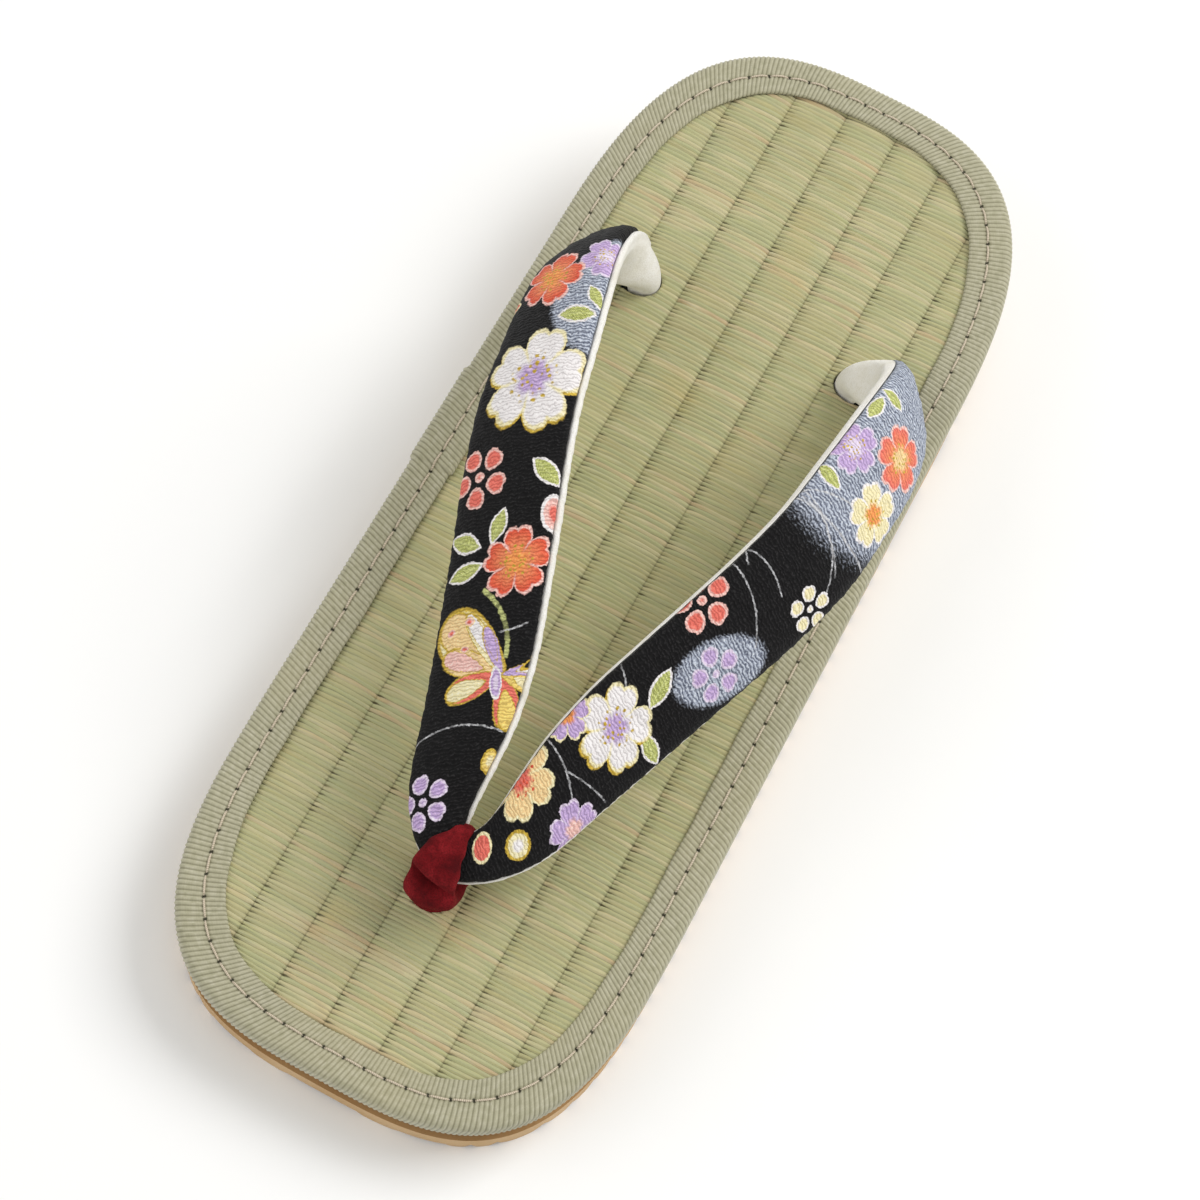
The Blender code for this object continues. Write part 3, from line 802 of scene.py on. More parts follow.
@dataclass(frozen=True)
class CrepeFinish:
    """Black crepe with printed motifs and fine wavering ribs, with painted shade in the rib
    valleys and paler crests that are partly bare fibre, partly painted highlight.
    """

    name: str
    motifs: tuple[Motif, ...]
    rib_turn: float
    rib_pitch: float = 0.76
    chart: str = "cloth"

    def make(self) -> bpy.types.Material:
        """Builds the finish.

        Returns:
            The material. Its chart holds the place on the flat cut cloth in mm.
        """
        bench = Bench(self.name)
        cloth = Cloth(bench, self.chart, self.rib_turn, self.rib_pitch)
        ridge = cloth.ridge
        black = bench.noise(cloth.flat, (1.2, 1.2, 1.0), 3.0)
        tone = bench.mix(black.rise(0.40, 0.70), Dye.INK.light, tint(20, 19, 20))
        for motif in self.motifs:
            tone = motif.paint(cloth, tone)
        # Paler broken specks on the rib crests: partly bare fibre where the print thins, partly
        # painted highlight on the crests
        broken = bench.noise(cloth.flat, (2.4, 2.4, 1.0))
        bare = ridge.rise(0.45, 0.05) * broken.rise(0.35, 0.65)
        tone = bench.mix(bare * 0.55, tone, (1.0, 1.0, 1.0), "OVERLAY")
        tone = bench.mix(bare * 0.022, tone, tint(226, 222, 220))
        # Painted shade in the valleys between the ribs
        tone = bench.mix(ridge.rise(0.55, 0.95) * 0.36, tone, tint(96, 84, 88), "MULTIPLY")
        pebble = bench.cells(cloth.flat, (1.5, 2.0, 1.0), 0.9)
        relief = (1.0 - ridge) * 0.75 + pebble * 0.35
        return bench.close(tone, 0.80, bench.bump(relief, 0.00013), Sheen_Weight=0.05,
                           Specular_IOR_Level=0.18)


# ---------------------------------------------------------------- meshes


@dataclass
class Skin:
    """A closed skin through rings of points, with an optional chart.

    rings has the shape (rings, points of a ring, 3). chart_grid has one more column than a ring
    has points, and one more row where the rings close on themselves.
    """

    name: str
    rings: np.ndarray
    closes: bool = False
    chart: str | None = None
    chart_grid: np.ndarray | None = None

    def corners(self) -> tuple[np.ndarray, np.ndarray]:
        """Finds the four corners of every face, as ring and point numbers that don't wrap.

        Returns:
            Ring numbers and point numbers, each of the shape (faces, 4).
        """
        count, points = self.rings.shape[:2]
        steps = count if self.closes else count - 1
        first, second = np.meshgrid(np.arange(steps), np.arange(points), indexing="ij")
        first = first.ravel()[:, None] + np.array([[0, 1, 1, 0]])
        second = second.ravel()[:, None] + np.array([[0, 0, 1, 1]])
        return first, second

    def build(self, finishes: Sequence[bpy.types.Material],
              slots: np.ndarray | None = None) -> bpy.types.Object:
        """Makes the object.

        Args:
            finishes: Its materials.
            slots: The material's number for each face, or None for the first.

        Returns:
            The object, with its faces outward.
        """
        count, points = self.rings.shape[:2]
        first, second = self.corners()
        quads = (first % count) * points + second % points
        caps = []
        if not self.closes:
            caps = [np.arange(points), np.arange(points)[::-1] + (count - 1) * points]
        flat = self.rings.reshape(-1, 3)
        a, b, c, d = (flat[quads[:, corner]] for corner in range(4))
        volume = np.einsum("ij,ij->", a, np.cross(b, c)) + np.einsum("ij,ij->", a, np.cross(c, d))
        if volume < 0:
            quads, first, second = quads[:, ::-1], first[:, ::-1], second[:, ::-1]
            caps = [cap[::-1] for cap in caps]
        mesh = bpy.data.meshes.new(self.name)
        mesh.from_pydata(flat.tolist(), [], quads.tolist() + [cap.tolist() for cap in caps])
        if self.chart is not None:
            layer = mesh.uv_layers.new(name=self.chart)
            spots = self.chart_grid[first, second].reshape(-1, 2)
            extra = len(mesh.loops) - len(spots)
            spots = np.concatenate([spots, np.zeros((extra, 2))])
            layer.uv.foreach_set("vector", spots.astype(np.float32).ravel())
        for finish in finishes:
            mesh.materials.append(finish)
        if slots is not None:
            numbers = np.zeros(len(mesh.polygons), np.int32)
            numbers[:len(slots)] = slots
            mesh.polygons.foreach_set("material_index", numbers)
        mesh.polygons.foreach_set("use_smooth", np.ones(len(mesh.polygons), bool))
        mesh.update()
        return stand_up(self.name, mesh)


def upright(name: str, outline: np.ndarray, heights: Sequence[float]) -> bpy.types.Object:
    """A closed tool with that outline at each of the heights."""
    levels = [np.column_stack([outline, np.full(len(outline), height)]) for height in heights]
    return Skin(name, np.array(levels)).build([])


def hand_over(piece: bpy.types.Object, slot: str, *nodes: str) -> bpy.types.Object:
    """Puts a piece on its body and hides the solids that it stands for.

    Args:
        piece: The piece.
        slot: The record's material slot; not used.
        nodes: The solids that it replaces.

    Returns:
        The piece.
    """
    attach(piece, BODY)
    if nodes:
        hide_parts(*nodes)
    LOG.info("%s: %d faces", piece.name, len(piece.data.polygons))
    return piece


def cut(target: bpy.types.Object, tool: bpy.types.Object, operation: str) -> None:
    """Applies one exact boolean and removes the tool.

    Args:
        target: The object that changes.
        tool: The object that cuts it.
        operation: Blender's word for the boolean.
    """
    change = target.modifiers.new("cut", "BOOLEAN")
    change.operation = operation
    change.solver = "EXACT"
    change.object = tool
    graph = bpy.context.evaluated_depsgraph_get()
    result = bpy.data.meshes.new_from_object(target.evaluated_get(graph))
    target.modifiers.clear()
    target.data = result
    bpy.data.objects.remove(tool, do_unlink=True)


def crease(target: bpy.types.Object, degrees: float) -> None:
    """Smooth shading except over edges sharper than so many degrees."""
    builder = bmesh.new()
    builder.from_mesh(target.data)
    for face in builder.faces:
        face.smooth = True
    for edge in builder.edges:
        edge.smooth = not edge.is_manifold or edge.calc_face_angle() < math.radians(degrees)
    builder.to_mesh(target.data)
    builder.free()


def waver(values: np.ndarray, seed: float) -> np.ndarray:
    """Soft irregular swing round 0, within about -1 to 1, that repeats far apart only."""
    return (np.sin(values + seed) * 0.45 + np.sin(values * 2.33 + seed * 3.1) * 0.30
            + np.sin(values * 4.71 + seed * 7.7) * 0.25)


def unit(vectors: np.ndarray) -> np.ndarray:
    """The same vectors, each one long."""
    return vectors / np.linalg.norm(vectors, axis=-1, keepdims=True)


def lengths_along(points: np.ndarray) -> np.ndarray:
    """How far each point of a line is from the first, measured along the line."""
    return np.concatenate([[0.0], np.cumsum(np.linalg.norm(np.diff(points, axis=0), axis=1))])


def binomial(values: np.ndarray, times: int) -> np.ndarray:
    """Smooths rows again and again, and holds the first and last."""
    made = values.copy()
    for _ in range(times):
        made[1:-1] = made[:-2] * 0.25 + made[1:-1] * 0.5 + made[2:] * 0.25
    return made


@dataclass(frozen=True)
class SolePlan:
    """The sole's plan and its layers over the floor."""

    length: float = 0.240
    toe_width: float = 0.0942
    heel_width: float = 0.0922
    toe_bend_y: float = -0.062
    heel_bend_y: float = 0.055
    toe_squareness: float = 3.2
    heel_squareness: float = 2.95
    gap: float = 0.0003
    outsole_height: float = 0.0050
    wedge_at_toe: float = 0.0050
    wedge_at_heel: float = 0.0216
    tape_thickness: float = 0.0006
    board_thickness: float = 0.0038
    post_place: tuple[float, float] = (0.0010, -0.0780)

    def halves(self, inset: np.ndarray | float) -> tuple[np.ndarray | float, ...]:
        """Half widths and depths of the toe's and the heel's round, so far in from the edge."""
        return (self.toe_width / 2 - inset, self.heel_width / 2 - inset,
                self.length / 2 + self.toe_bend_y - inset,
                self.length / 2 - self.heel_bend_y - inset)

    def at(self, inset: np.ndarray | float, stations: np.ndarray) -> np.ndarray:
        """Points of the plan, counter-clockwise from the toe.

        Args:
            inset: How far in from the outermost edge.
            stations: Places from 0 to 6: toe corner, side and heel corner, then back.

        Returns:
            Points of the shape (stations, 2).
        """
        region = np.floor(stations).astype(int) % 6
        part = stations - np.floor(stations)
        toe_half, heel_half, toe_depth, heel_depth = self.halves(inset)
        eased = part * part * (3 - 2 * part)
        turn = np.where(np.isin(region, (0, 3)), eased, 1 - eased) * math.pi / 2
        toe = np.isin(region, (0, 5))
        power = np.where(toe, 2 / self.toe_squareness, 2 / self.heel_squareness)
        sine = np.clip(np.sin(turn), 0, 1) ** power
        cosine = np.clip(np.cos(turn), 0, 1) ** power
        across = np.where(toe, toe_half, heel_half) * sine
        along = np.where(toe, self.toe_bend_y - toe_depth * cosine,
                         self.heel_bend_y + heel_depth * cosine)
        straight = np.isin(region, (1, 4))
        share = np.where(region == 1, part, 1 - part)
        across = np.where(straight, toe_half + (heel_half - toe_half) * share, across)
        side_y = self.toe_bend_y + (self.heel_bend_y - self.toe_bend_y) * share
        along = np.where(straight, side_y, along)
        return np.stack([np.where(region < 3, across, -across), along], -1)

    def ruler(self) -> tuple[np.ndarray, np.ndarray]:
        """Lengths round the plan with their stations.

        Returns:
            Lengths from the toe, rising, and the stations there.
        """
        stations = np.linspace(0, 6, 24001)
        return lengths_along(self.at(0.0, stations)), stations

    def even(self, count: int) -> np.ndarray:
        """Stations of so many places, evenly round the plan."""
        ruler, stations = self.ruler()
        return np.interp(np.linspace(0, ruler[-1], count + 1)[:-1], ruler, stations)

    def half_width(self, along: np.ndarray, inset: float) -> np.ndarray:
        """Half of the plan's width at places along the shoe."""
        toe_half, heel_half, toe_depth, heel_depth = self.halves(inset)
        share = (along - self.toe_bend_y) / (self.heel_bend_y - self.toe_bend_y)
        width = toe_half + (heel_half - toe_half) * np.clip(share, 0, 1)
        over_toe = np.clip((self.toe_bend_y - along) / toe_depth, 0, 1)
        over_heel = np.clip((along - self.heel_bend_y) / heel_depth, 0, 1)
        width *= (1 - over_toe ** self.toe_squareness) ** (1 / self.toe_squareness)
        width *= (1 - over_heel ** self.heel_squareness) ** (1 / self.heel_squareness)
        return width

    def wedge_top(self, along: np.ndarray | float) -> np.ndarray | float:
        """Height of the wedge's sloping top."""
        share = along / self.length + 0.5
        rise = self.wedge_at_toe + (self.wedge_at_heel - self.wedge_at_toe) * share
        return self.outsole_height + self.gap + rise

    def mat_top(self, along: np.ndarray | float) -> np.ndarray | float:
        """Height of the rush mat."""
        layers = self.gap + self.tape_thickness + self.gap + self.board_thickness
        return self.wedge_top(along) + layers


@dataclass
class Outsole:
    """Rubber bottom: rounded zigzag ribs, waist band and cross ridge.

    profile is one rib and its groove, as places and heights in mm.
    """

    plan: SolePlan
    inset: float = 0.0006
    rib_pitch: float = 0.00490
    groove: float = 0.0018
    zigzag_wave: float = 0.0230
    zigzag_swing: float = 0.0056
    sharpness: float = 0.988
    front_ribs: int = 32
    heel_ribs: int = 11
    front_ribs_end: float = 0.0385
    heel_ribs_start: float = 0.0682
    waist_rise: float = 0.0012
    ridge_place: float = 0.0590
    ridge_width: float = 0.0056
    ridge_slope: float = 0.0016
    field_margin: float = 0.0009
    columns_per_wave: int = 12
    outline_points: int = 360
    levels: Triple = (-0.002, 0.002, 0.010)
    crease_deg: float = 34.0
    rim_lean: float = 0.2
    rim_side: float = 0.0012
    rim_ends: float = 0.0040
    # Tread and band tones: base, worn, and the colour of the specks and of the painted groove
    # shade
    ground_tones: tuple[Triple, ...] = ((186, 148, 100), (200, 164, 116), (142, 104, 62))
    band_tones: tuple[Triple, ...] = ((200, 166, 120), (211, 180, 138), (166, 128, 84))
    profile: tuple[tuple[float, float], ...] = (
        (0.00, 0.90), (0.35, 0.42), (0.70, 0.12), (1.05, 0.0), (1.85, 0.0), (2.65, 0.0),
        (3.00, 0.12), (3.35, 0.42), (3.70, 0.90), (4.00, 1.45), (4.30, 1.76), (4.60, 1.45))

    def swing(self, across: np.ndarray) -> np.ndarray:
        """How far the ribs swing along the shoe at places across it."""
        turn = np.cos(across * math.tau / self.zigzag_wave) * self.sharpness
        return self.zigzag_swing / 2 * np.arcsin(turn) / math.asin(self.sharpness)

    def ribs(self, start: float, count: int) -> list[Triple]:
        """Rows of one field of ribs as place, rise and share of the swing."""
        return [(start + number * self.rib_pitch + place * MM, rise * MM, 1.0)
                for number in range(count) for place, rise in self.profile]

    def rows(self) -> list[Triple]:
        """Every row of the underside from toe to heel."""
        start = self.front_ribs_end - self.front_ribs * self.rib_pitch
        rows = [(-self.plan.length, self.groove, 0.0)]
        rows += self.ribs(start, self.front_ribs)
        rows.append((self.front_ribs_end + self.field_margin, self.waist_rise, 1.0))
        front = self.ridge_place - self.ridge_width / 2
        rear = self.ridge_place + self.ridge_width / 2
        for place, rise in ((front - self.ridge_slope, self.waist_rise),
                            (front - self.ridge_slope * 0.3, self.waist_rise * 0.25),
                            (front, 0.0), (rear, 0.0),
                            (rear + self.ridge_slope * 0.3, self.waist_rise * 0.25),
                            (rear + self.ridge_slope, self.waist_rise)):
            rows.append((place, rise, 0.0))
        rows.append((self.heel_ribs_start - self.field_margin, self.waist_rise, 1.0))
        rows += self.ribs(self.heel_ribs_start, self.heel_ribs)
        rows.append((self.plan.length, self.groove, 0.0))
        return rows

    def build(self) -> bpy.types.Object:
        """Builds the trimmed, ribbed slab.

        Returns:
            The piece.
        """
        reach = self.zigzag_wave * 2.5
        count = round(2 * reach / self.zigzag_wave * self.columns_per_wave) + 1
        across = np.linspace(-reach, reach, count)
        swing = self.swing(across)
        rings = []
        for along, rise, share in self.rows():
            low = np.stack([across, along + swing * share, np.full(count, rise)], -1)
            ends = low[[-1, 0]].copy()
            ends[:, 2] = self.plan.outsole_height
            rings.append(np.concatenate([low, ends]))
        ground = RubberFinish("outsole_rubber", *self.ground_tones, self.groove).make()
        band = RubberFinish("outsole_band", *self.band_tones, self.plan.outsole_height * 4).make()
        sole = Skin("outsole_tread", np.array(rings)).build([ground, band])
        outline = self.plan.at(self.inset, self.plan.even(self.outline_points))
        cut(sole, upright("outsole_plan", outline, self.levels), "INTERSECT")
        crease(sole, self.crease_deg)
        for face in sole.data.polygons:
            face.material_index = int(self.on_rim(face))
        return hand_over(sole, "outsole_rubber", "outsole")

    def on_rim(self, face: bpy.types.MeshPolygon) -> bool:
        """True for a face of the slab's outer wall."""
        spot = face.center
        width = self.plan.half_width(np.array([spot.y]), self.inset)[0]
        beside = abs(abs(spot.x) - width) < self.rim_side
        at_end = abs(spot.y) > self.plan.length / 2 - self.rim_ends
        return abs(face.normal.z) < self.rim_lean and (beside or at_end)


@dataclass
class Midsole:
    """Foam wedge between the rubber and the footbed.

    A row of profile is a share of the height, and how many roundings it lies in and up.
    """

    plan: SolePlan
    inset: float = 0.0016
    rounding: float = 0.0005
    points: int = 420
    dish: float = 0.00025
    crease_deg: float = 50.0
    profile: tuple[Triple, ...] = (
        (0.0, 3.0, 0.0), (0.0, 1.0, 0.0), (0.0, 0.3, 0.3), (0.0, 0.0, 1.0), (0.25, 0.0, 0.5),
        (0.5, 0.0, 0.0), (0.75, 0.0, -0.5), (1.0, 0.0, -1.0), (1.0, 0.3, -0.3), (1.0, 1.0, 0.0),
        (1.0, 3.0, 0.0))

    def build(self) -> bpy.types.Object:
        """Builds the wedge with softly rounded edges and a slightly dished wall.

        Returns:
            The piece.
        """
        spots = self.plan.even(self.points)
        low = self.plan.outsole_height + self.plan.gap
        rings = []
        for share, pull, lift in self.profile:
            sunk = self.dish * math.sin(math.pi * share)
            outline = self.plan.at(self.inset + pull * self.rounding + sunk, spots)
            top = self.plan.wedge_top(outline[:, 1])
            height = low + (top - low) * share + lift * self.rounding
            rings.append(np.column_stack([outline, height]))
        wedge = Skin("midsole_wedge", np.array(rings)).build([FoamFinish().make()])
        crease(wedge, self.crease_deg)
        return hand_over(wedge, "wedge_foam", "midsole")


@dataclass
class RushMat:
    """Footbed with its woven rush: round strands across, tied along lengthwise seams.

    strand_steps and band_steps are the mesh's places within a strand and from seam to seam.
    """

    plan: SolePlan
    strand_pitch: float = 0.00095
    seam_pitch: float = 0.01163
    seam_place: float = -0.02768
    inset: float = 0.0040
    over: float = 0.0020
    outline_points: int = 480
    hole_points: int = 48
    crown: float = 0.00030
    swell: float = 0.00060
    pit: float = 0.00034
    sway: float = 0.00040
    seam_sway: float = 0.25
    seam_reach: float = 0.075
    strand_roundness: float = 0.6
    strand_change: float = 0.35
    strand_steps: tuple[float, ...] = (0.0, 0.20, 0.50, 0.80)
    band_steps: tuple[float, ...] = (0.0, 0.0533, 0.105, 0.18, 0.34, 0.5, 0.66, 0.82, 0.895,
                                     0.9467)
    root_place: tuple[float, float] = (0.0250, 0.0556)
    root_radii: tuple[float, float] = (0.0046, 0.0040)
    post_radius: float = 0.0050

    def columns(self) -> np.ndarray:
        """Places across in seam bands, from edge to edge and a little over."""
        reach = self.plan.toe_width / 2 - self.inset + self.over
        bands = np.arange(-3, 9)[:, None] + np.array(self.band_steps)
        spots = bands.ravel()
        across = self.seam_place + spots * self.seam_pitch
        return spots[np.abs(across) < reach]

    def build(self) -> bpy.types.Object:
        """Builds the mat.

        Returns:
            The piece.
        """
        spots = self.columns()
        reach = self.plan.length / 2 - self.inset + self.over
        number = math.floor(reach / self.strand_pitch)
        strands = (np.arange(-number, number)[:, None] + np.array(self.strand_steps)).ravel()
        band, strand = np.meshgrid(spots, strands)
        across = self.seam_place + band * self.seam_pitch
        along = strand * self.strand_pitch
        inside = np.abs(band - np.round(band))
        parity = np.where(np.floor(strand) % 2 == 0, 1.0, -1.0)
        near_seam = np.exp(-(inside / self.seam_reach) ** 2)
        along = along + waver(across * 190.0 + np.floor(strand) * 0.55, 0.4) * self.sway * 0.5
        facing = np.sign(band - np.round(band))
        along = along + near_seam * parity * facing * self.sway * self.seam_sway
        within = strand - np.floor(strand)
        round_top = np.sin(math.pi * within) ** self.strand_roundness
        thick = 1.0 + self.strand_change * waver(np.floor(strand) * 2.9, 1.0)
        lift = self.crown * (round_top * thick - 1.0)
        fullness = 1.0 - (1.0 - np.clip(inside * 2.0, 0, 1)) ** 3.0
        lift = lift + self.swell * (fullness - 0.85)
        start = band - np.floor(band)
        wedge = np.exp(-start / 0.11) + 0.6 * np.exp(-(1.0 - start) / 0.05)
        lift = lift - self.pit * wedge * (1.0 - round_top)
        up = self.plan.mat_top(along) + lift
        top = np.stack([across, along, up], -1)
        sides = top[:, [-1, 0]].copy()
        sides[..., 1] = strands[:, None] * self.strand_pitch
        sides[..., 2] = self.plan.mat_top(sides[..., 1]) - self.plan.board_thickness
        rings = np.concatenate([top, sides], axis=1)
        chart = np.stack([band, strand], -1)
        chart = np.concatenate([chart, chart[:, [-1, 0, 0]]], axis=1)
        mat = Skin("rush_mat", rings, chart="strand", chart_grid=chart).build(
            [RushFinish().make()])
        cut(mat, self.blank(), "INTERSECT")
        across_root, along_root = self.root_place
        for place, radii in (((-across_root, along_root), self.root_radii),
                             ((across_root, along_root), self.root_radii),
                             (self.plan.post_place, (self.post_radius, self.post_radius))):
            cut(mat, self.punch(place, radii), "DIFFERENCE")
        return hand_over(mat, "rush_mat", "footbed")

    def blank(self) -> bpy.types.Object:
        """An upright tool with the mat's outline."""
        rim = self.plan.at(self.inset, self.plan.even(self.outline_points))
        return upright("mat_outline", rim, MAT_CUT)

    def punch(self, place: tuple[float, float], radii: tuple[float, float]) -> bpy.types.Object:
        """An upright oval tool for one hole."""
        turn = np.linspace(0, math.tau, self.hole_points + 1)[:-1]
        rim = np.stack([place[0] + radii[0] * np.cos(turn),
                        place[1] + radii[1] * np.sin(turn)], -1)
        return upright("hole_tool", rim, MAT_CUT)


@dataclass
class Binding:
    """Ribbed tape folded round the footbed's edge, its lapped ends and its stitches."""

    plan: SolePlan
    rib_pitch: float = 0.00105
    rib_slant: float = 0.33
    rib_height: float = 0.00012
    samples: int = 4
    stitch_pitch: float = 0.00485
    stitch_inset: float = 0.0050
    thread_radius: float = 0.00023
    hole_depth: float = 0.00035
    hole_reach: float = 0.00042
    top_height: float = 0.0056
    bend: float = 0.0017
    under_width: float = 0.0062
    lap_front: float = -0.002
    lap_rear: float = 0.020
    lap_slope: float = 0.0006
    edge_waver: float = 0.00022
    waver_reach: float = 0.0035
    rib_start: float = 0.0009
    step_in: float = 0.0001
    thread_sway: float = 0.00009
    thread_sink: float = 0.0004
    thread_arch: float = 0.00052

    def outer_profile(self) -> np.ndarray:
        """The tape's outside from the flap's edge on the mat down to its edge under the board.

        Returns:
            Rows of inset and height over the wedge.
        """
        top, bend = self.top_height, self.bend
        rows = [(0.00855, top - 0.00082), (0.00864, top - 0.00045), (0.00854, top - 0.00016),
                (0.0083, top)]
        rows += [(inset * MM, top) for inset in (7.6, 6.9, 6.2, 5.7)]
        rows += [(0.0053, top - 0.00003), (0.0050, top - 0.00010), (0.0047, top - 0.00003)]
        rows += [(inset * MM, top) for inset in (4.2, 3.6, 2.9, 2.3)]
        for degrees in (90, 74, 58, 42, 26, 12, 0):
            turn = math.radians(degrees)
            rows.append((bend - bend * math.cos(turn), top - bend + bend * math.sin(turn)))
        rows += [(0.0, top * 0.55), (0.0, top * 0.42)]
        for degrees in (0, 25, 50, 75, 90):
            turn = math.radians(degrees)
            rows.append((bend - bend * math.cos(turn), bend - bend * math.sin(turn)))
        rows += [(0.0036, 0.0), (self.under_width, 0.0)]
        return np.array(rows)

    def inner_profile(self) -> np.ndarray:
        """The tape's inside, from under the board back to the flap's edge."""
        thick = self.plan.tape_thickness
        return np.array([(self.under_width, thick), (thick + 0.0001, thick),
                         (thick + 0.0001, self.top_height - 0.0007),
                         (0.0082, self.top_height - 0.0006)])

    def lap(self, points: np.ndarray) -> np.ndarray:
        """How far the tape is doubled, from 0 to 1, at points of the plan."""
        rise = np.clip((points[..., 1] - self.lap_front + self.lap_slope) / self.lap_slope, 0, 1)
        fall = np.clip((self.lap_rear + self.lap_slope - points[..., 1]) / self.lap_slope, 0, 1)
        return np.where(points[..., 0] < 0, np.minimum(rise, fall), 0.0)

    def build(self) -> list[bpy.types.Object]:
        """Builds the tape and its stitches.

        Returns:
            The pieces.
        """
        ruler, stations = self.plan.ruler()
        total = ruler[-1]
        ribs = round(total / self.rib_pitch)
        stitches = round(total / self.stitch_pitch)
        steps = ribs * self.samples
        outer, inner = self.outer_profile(), self.inner_profile()
        profile = np.concatenate([outer, inner])
        across = lengths_along(profile)
        row = np.arange(steps)[:, None]
        place = row * (total / steps) - across[None, :] * self.rib_slant
        place[:, len(outer):] = row * (total / steps) - across[len(outer) - 1] * self.rib_slant
        spots = np.interp(place % total, ruler, stations)
        count, points = spots.shape
        inset = np.broadcast_to(profile[:, 0], (count, points)).copy()
        edge = np.clip(1.0 - across / self.waver_reach, 0, 1)
        inset += waver(place * 90.0, 2.0) * self.edge_waver * edge
        plan = self.plan.at(inset.ravel(), spots.ravel()).reshape(count, points, 2)
        height = np.broadcast_to(profile[:, 1], (count, points)).copy()
        slope = unit(np.gradient(profile, axis=0))
        normal_in, normal_up = slope[:, 1], -slope[:, 0]
        wave = np.cos(math.tau * row / self.samples)
        ribbed = np.clip(across / self.rib_start, 0, 1)
        ribbed[len(outer) - 2:] = 0.0
        push = self.rib_height * wave * ribbed + self.lap(plan) * self.plan.tape_thickness
        push[:, len(outer):] = 0.0
        step = (place / (total / stitches)) % 1.0 - 0.5
        off = np.hypot(step * total / stitches, inset - self.stitch_inset)
        push -= self.hole_depth * np.exp(-(off / self.hole_reach) ** 2)
        within = self.plan.at(inset.ravel() + self.step_in, spots.ravel())
        outward = unit(plan - within.reshape(count, points, 2))
        plan = plan - outward * (push * normal_in)[..., None]
        height = height + push * normal_up
        base = self.plan.wedge_top(plan[..., 1]) + self.plan.gap
        rings = np.concatenate([plan, (base + height)[..., None]], axis=-1)
        chart = np.stack([place / MM, np.broadcast_to(across / MM, place.shape)], -1)
        chart = np.concatenate([chart, chart[:, :1]], axis=1)
        last = chart[:1].copy()
        last[..., 0] += total / MM
        chart = np.concatenate([chart, last])
        seam = float(np.interp(-self.stitch_inset, -outer[:, 0][3:20], across[3:20])) / MM
        finish = TapeFinish(total / ribs / MM, self.rib_slant, total / stitches / MM, seam)
        tape = Skin("binding_tape", rings, True, "tape", chart).build([finish.make()])
        return [hand_over(tape, "binding_tape", "binding"), self.stitch_line(stitches)]

    def stitch_line(self, stitches: int, rounds: int = 10, sides: int = 8) -> bpy.types.Object:
        """Builds every stitch as a short thread that dips into its two holes.

        Args:
            stitches: How many there are.
            rounds: Rings of each stitch.
            sides: Points of each ring.

        Returns:
            The piece.
        """
        ruler, stations = self.plan.ruler()
        pitch = ruler[-1] / stitches
        share = np.linspace(0.0, 1.0, rounds)
        place = (np.arange(stitches)[:, None] + 0.5 + 0.06 + share * 0.88) * pitch
        spots = np.interp(place % ruler[-1], ruler, stations)
        sway = waver(np.arange(stitches)[:, None] * 2.7 + share * 1.5, 0.7) * self.thread_sway
        line = self.plan.at((self.stitch_inset + sway).ravel(), spots.ravel())
        line = line.reshape(stitches, rounds, 2)
        lap = self.lap(line) * self.plan.tape_thickness
        top = self.plan.wedge_top(line[..., 1]) + self.plan.gap + self.top_height + lap
        arch = np.sin(math.pi * share) ** 0.4
        height = top - self.thread_sink + arch * self.thread_arch
        centre = np.concatenate([line, height[..., None]], axis=-1)
        travel = unit(np.gradient(centre, axis=1))
        side = unit(np.cross(travel, np.array([0.0, 0.0, 1.0])))
        above = np.cross(side, travel)
        turn = np.linspace(0, math.tau, sides + 1)[:-1]
        radius = self.thread_radius * (0.75 + 0.25 * arch)[None, :, None, None]
        rings = centre[:, :, None] + radius * (
            side[:, :, None] * np.cos(turn)[None, None, :, None]
            + above[:, :, None] * np.sin(turn)[None, None, :, None])
        chart = np.stack(np.meshgrid(share * pitch / MM, np.linspace(0, 1, sides + 1),
                                     indexing="ij"), -1)
        finish = ThreadFinish().make()
        made = [Skin(f"stitch_{number}", rings[number], False, "thread", chart).build([finish])
                for number in range(stitches)]
        return hand_over(join_all("binding_stitches", made), "binding_tape")


def join_all(name: str, pieces: Sequence[bpy.types.Object]) -> bpy.types.Object:
    """Joins many small objects in one.

    Args:
        name: The joined object's name.
        pieces: The objects, which share their finish.

    Returns:
        The joined object.
    """
    with bpy.context.temp_override(active_object=pieces[0], selected_editable_objects=pieces):
        bpy.ops.object.join()
    pieces[0].name = name
    pieces[0].data.name = name
    return pieces[0]


@dataclass(frozen=True)
class ArmSection:
    """A section of the right arm by its two edges.

    across is a share of half the toe width, along of half the length, up of the arch over the
    mat. crepe and lining are shares of the two crowns, lean of the sideways lean.
    """

    inner_across: float
    inner_along: float
    inner_up: float
    outer_across: float
    outer_along: float
    outer_up: float
    crepe: float
    lining: float
    lean: float


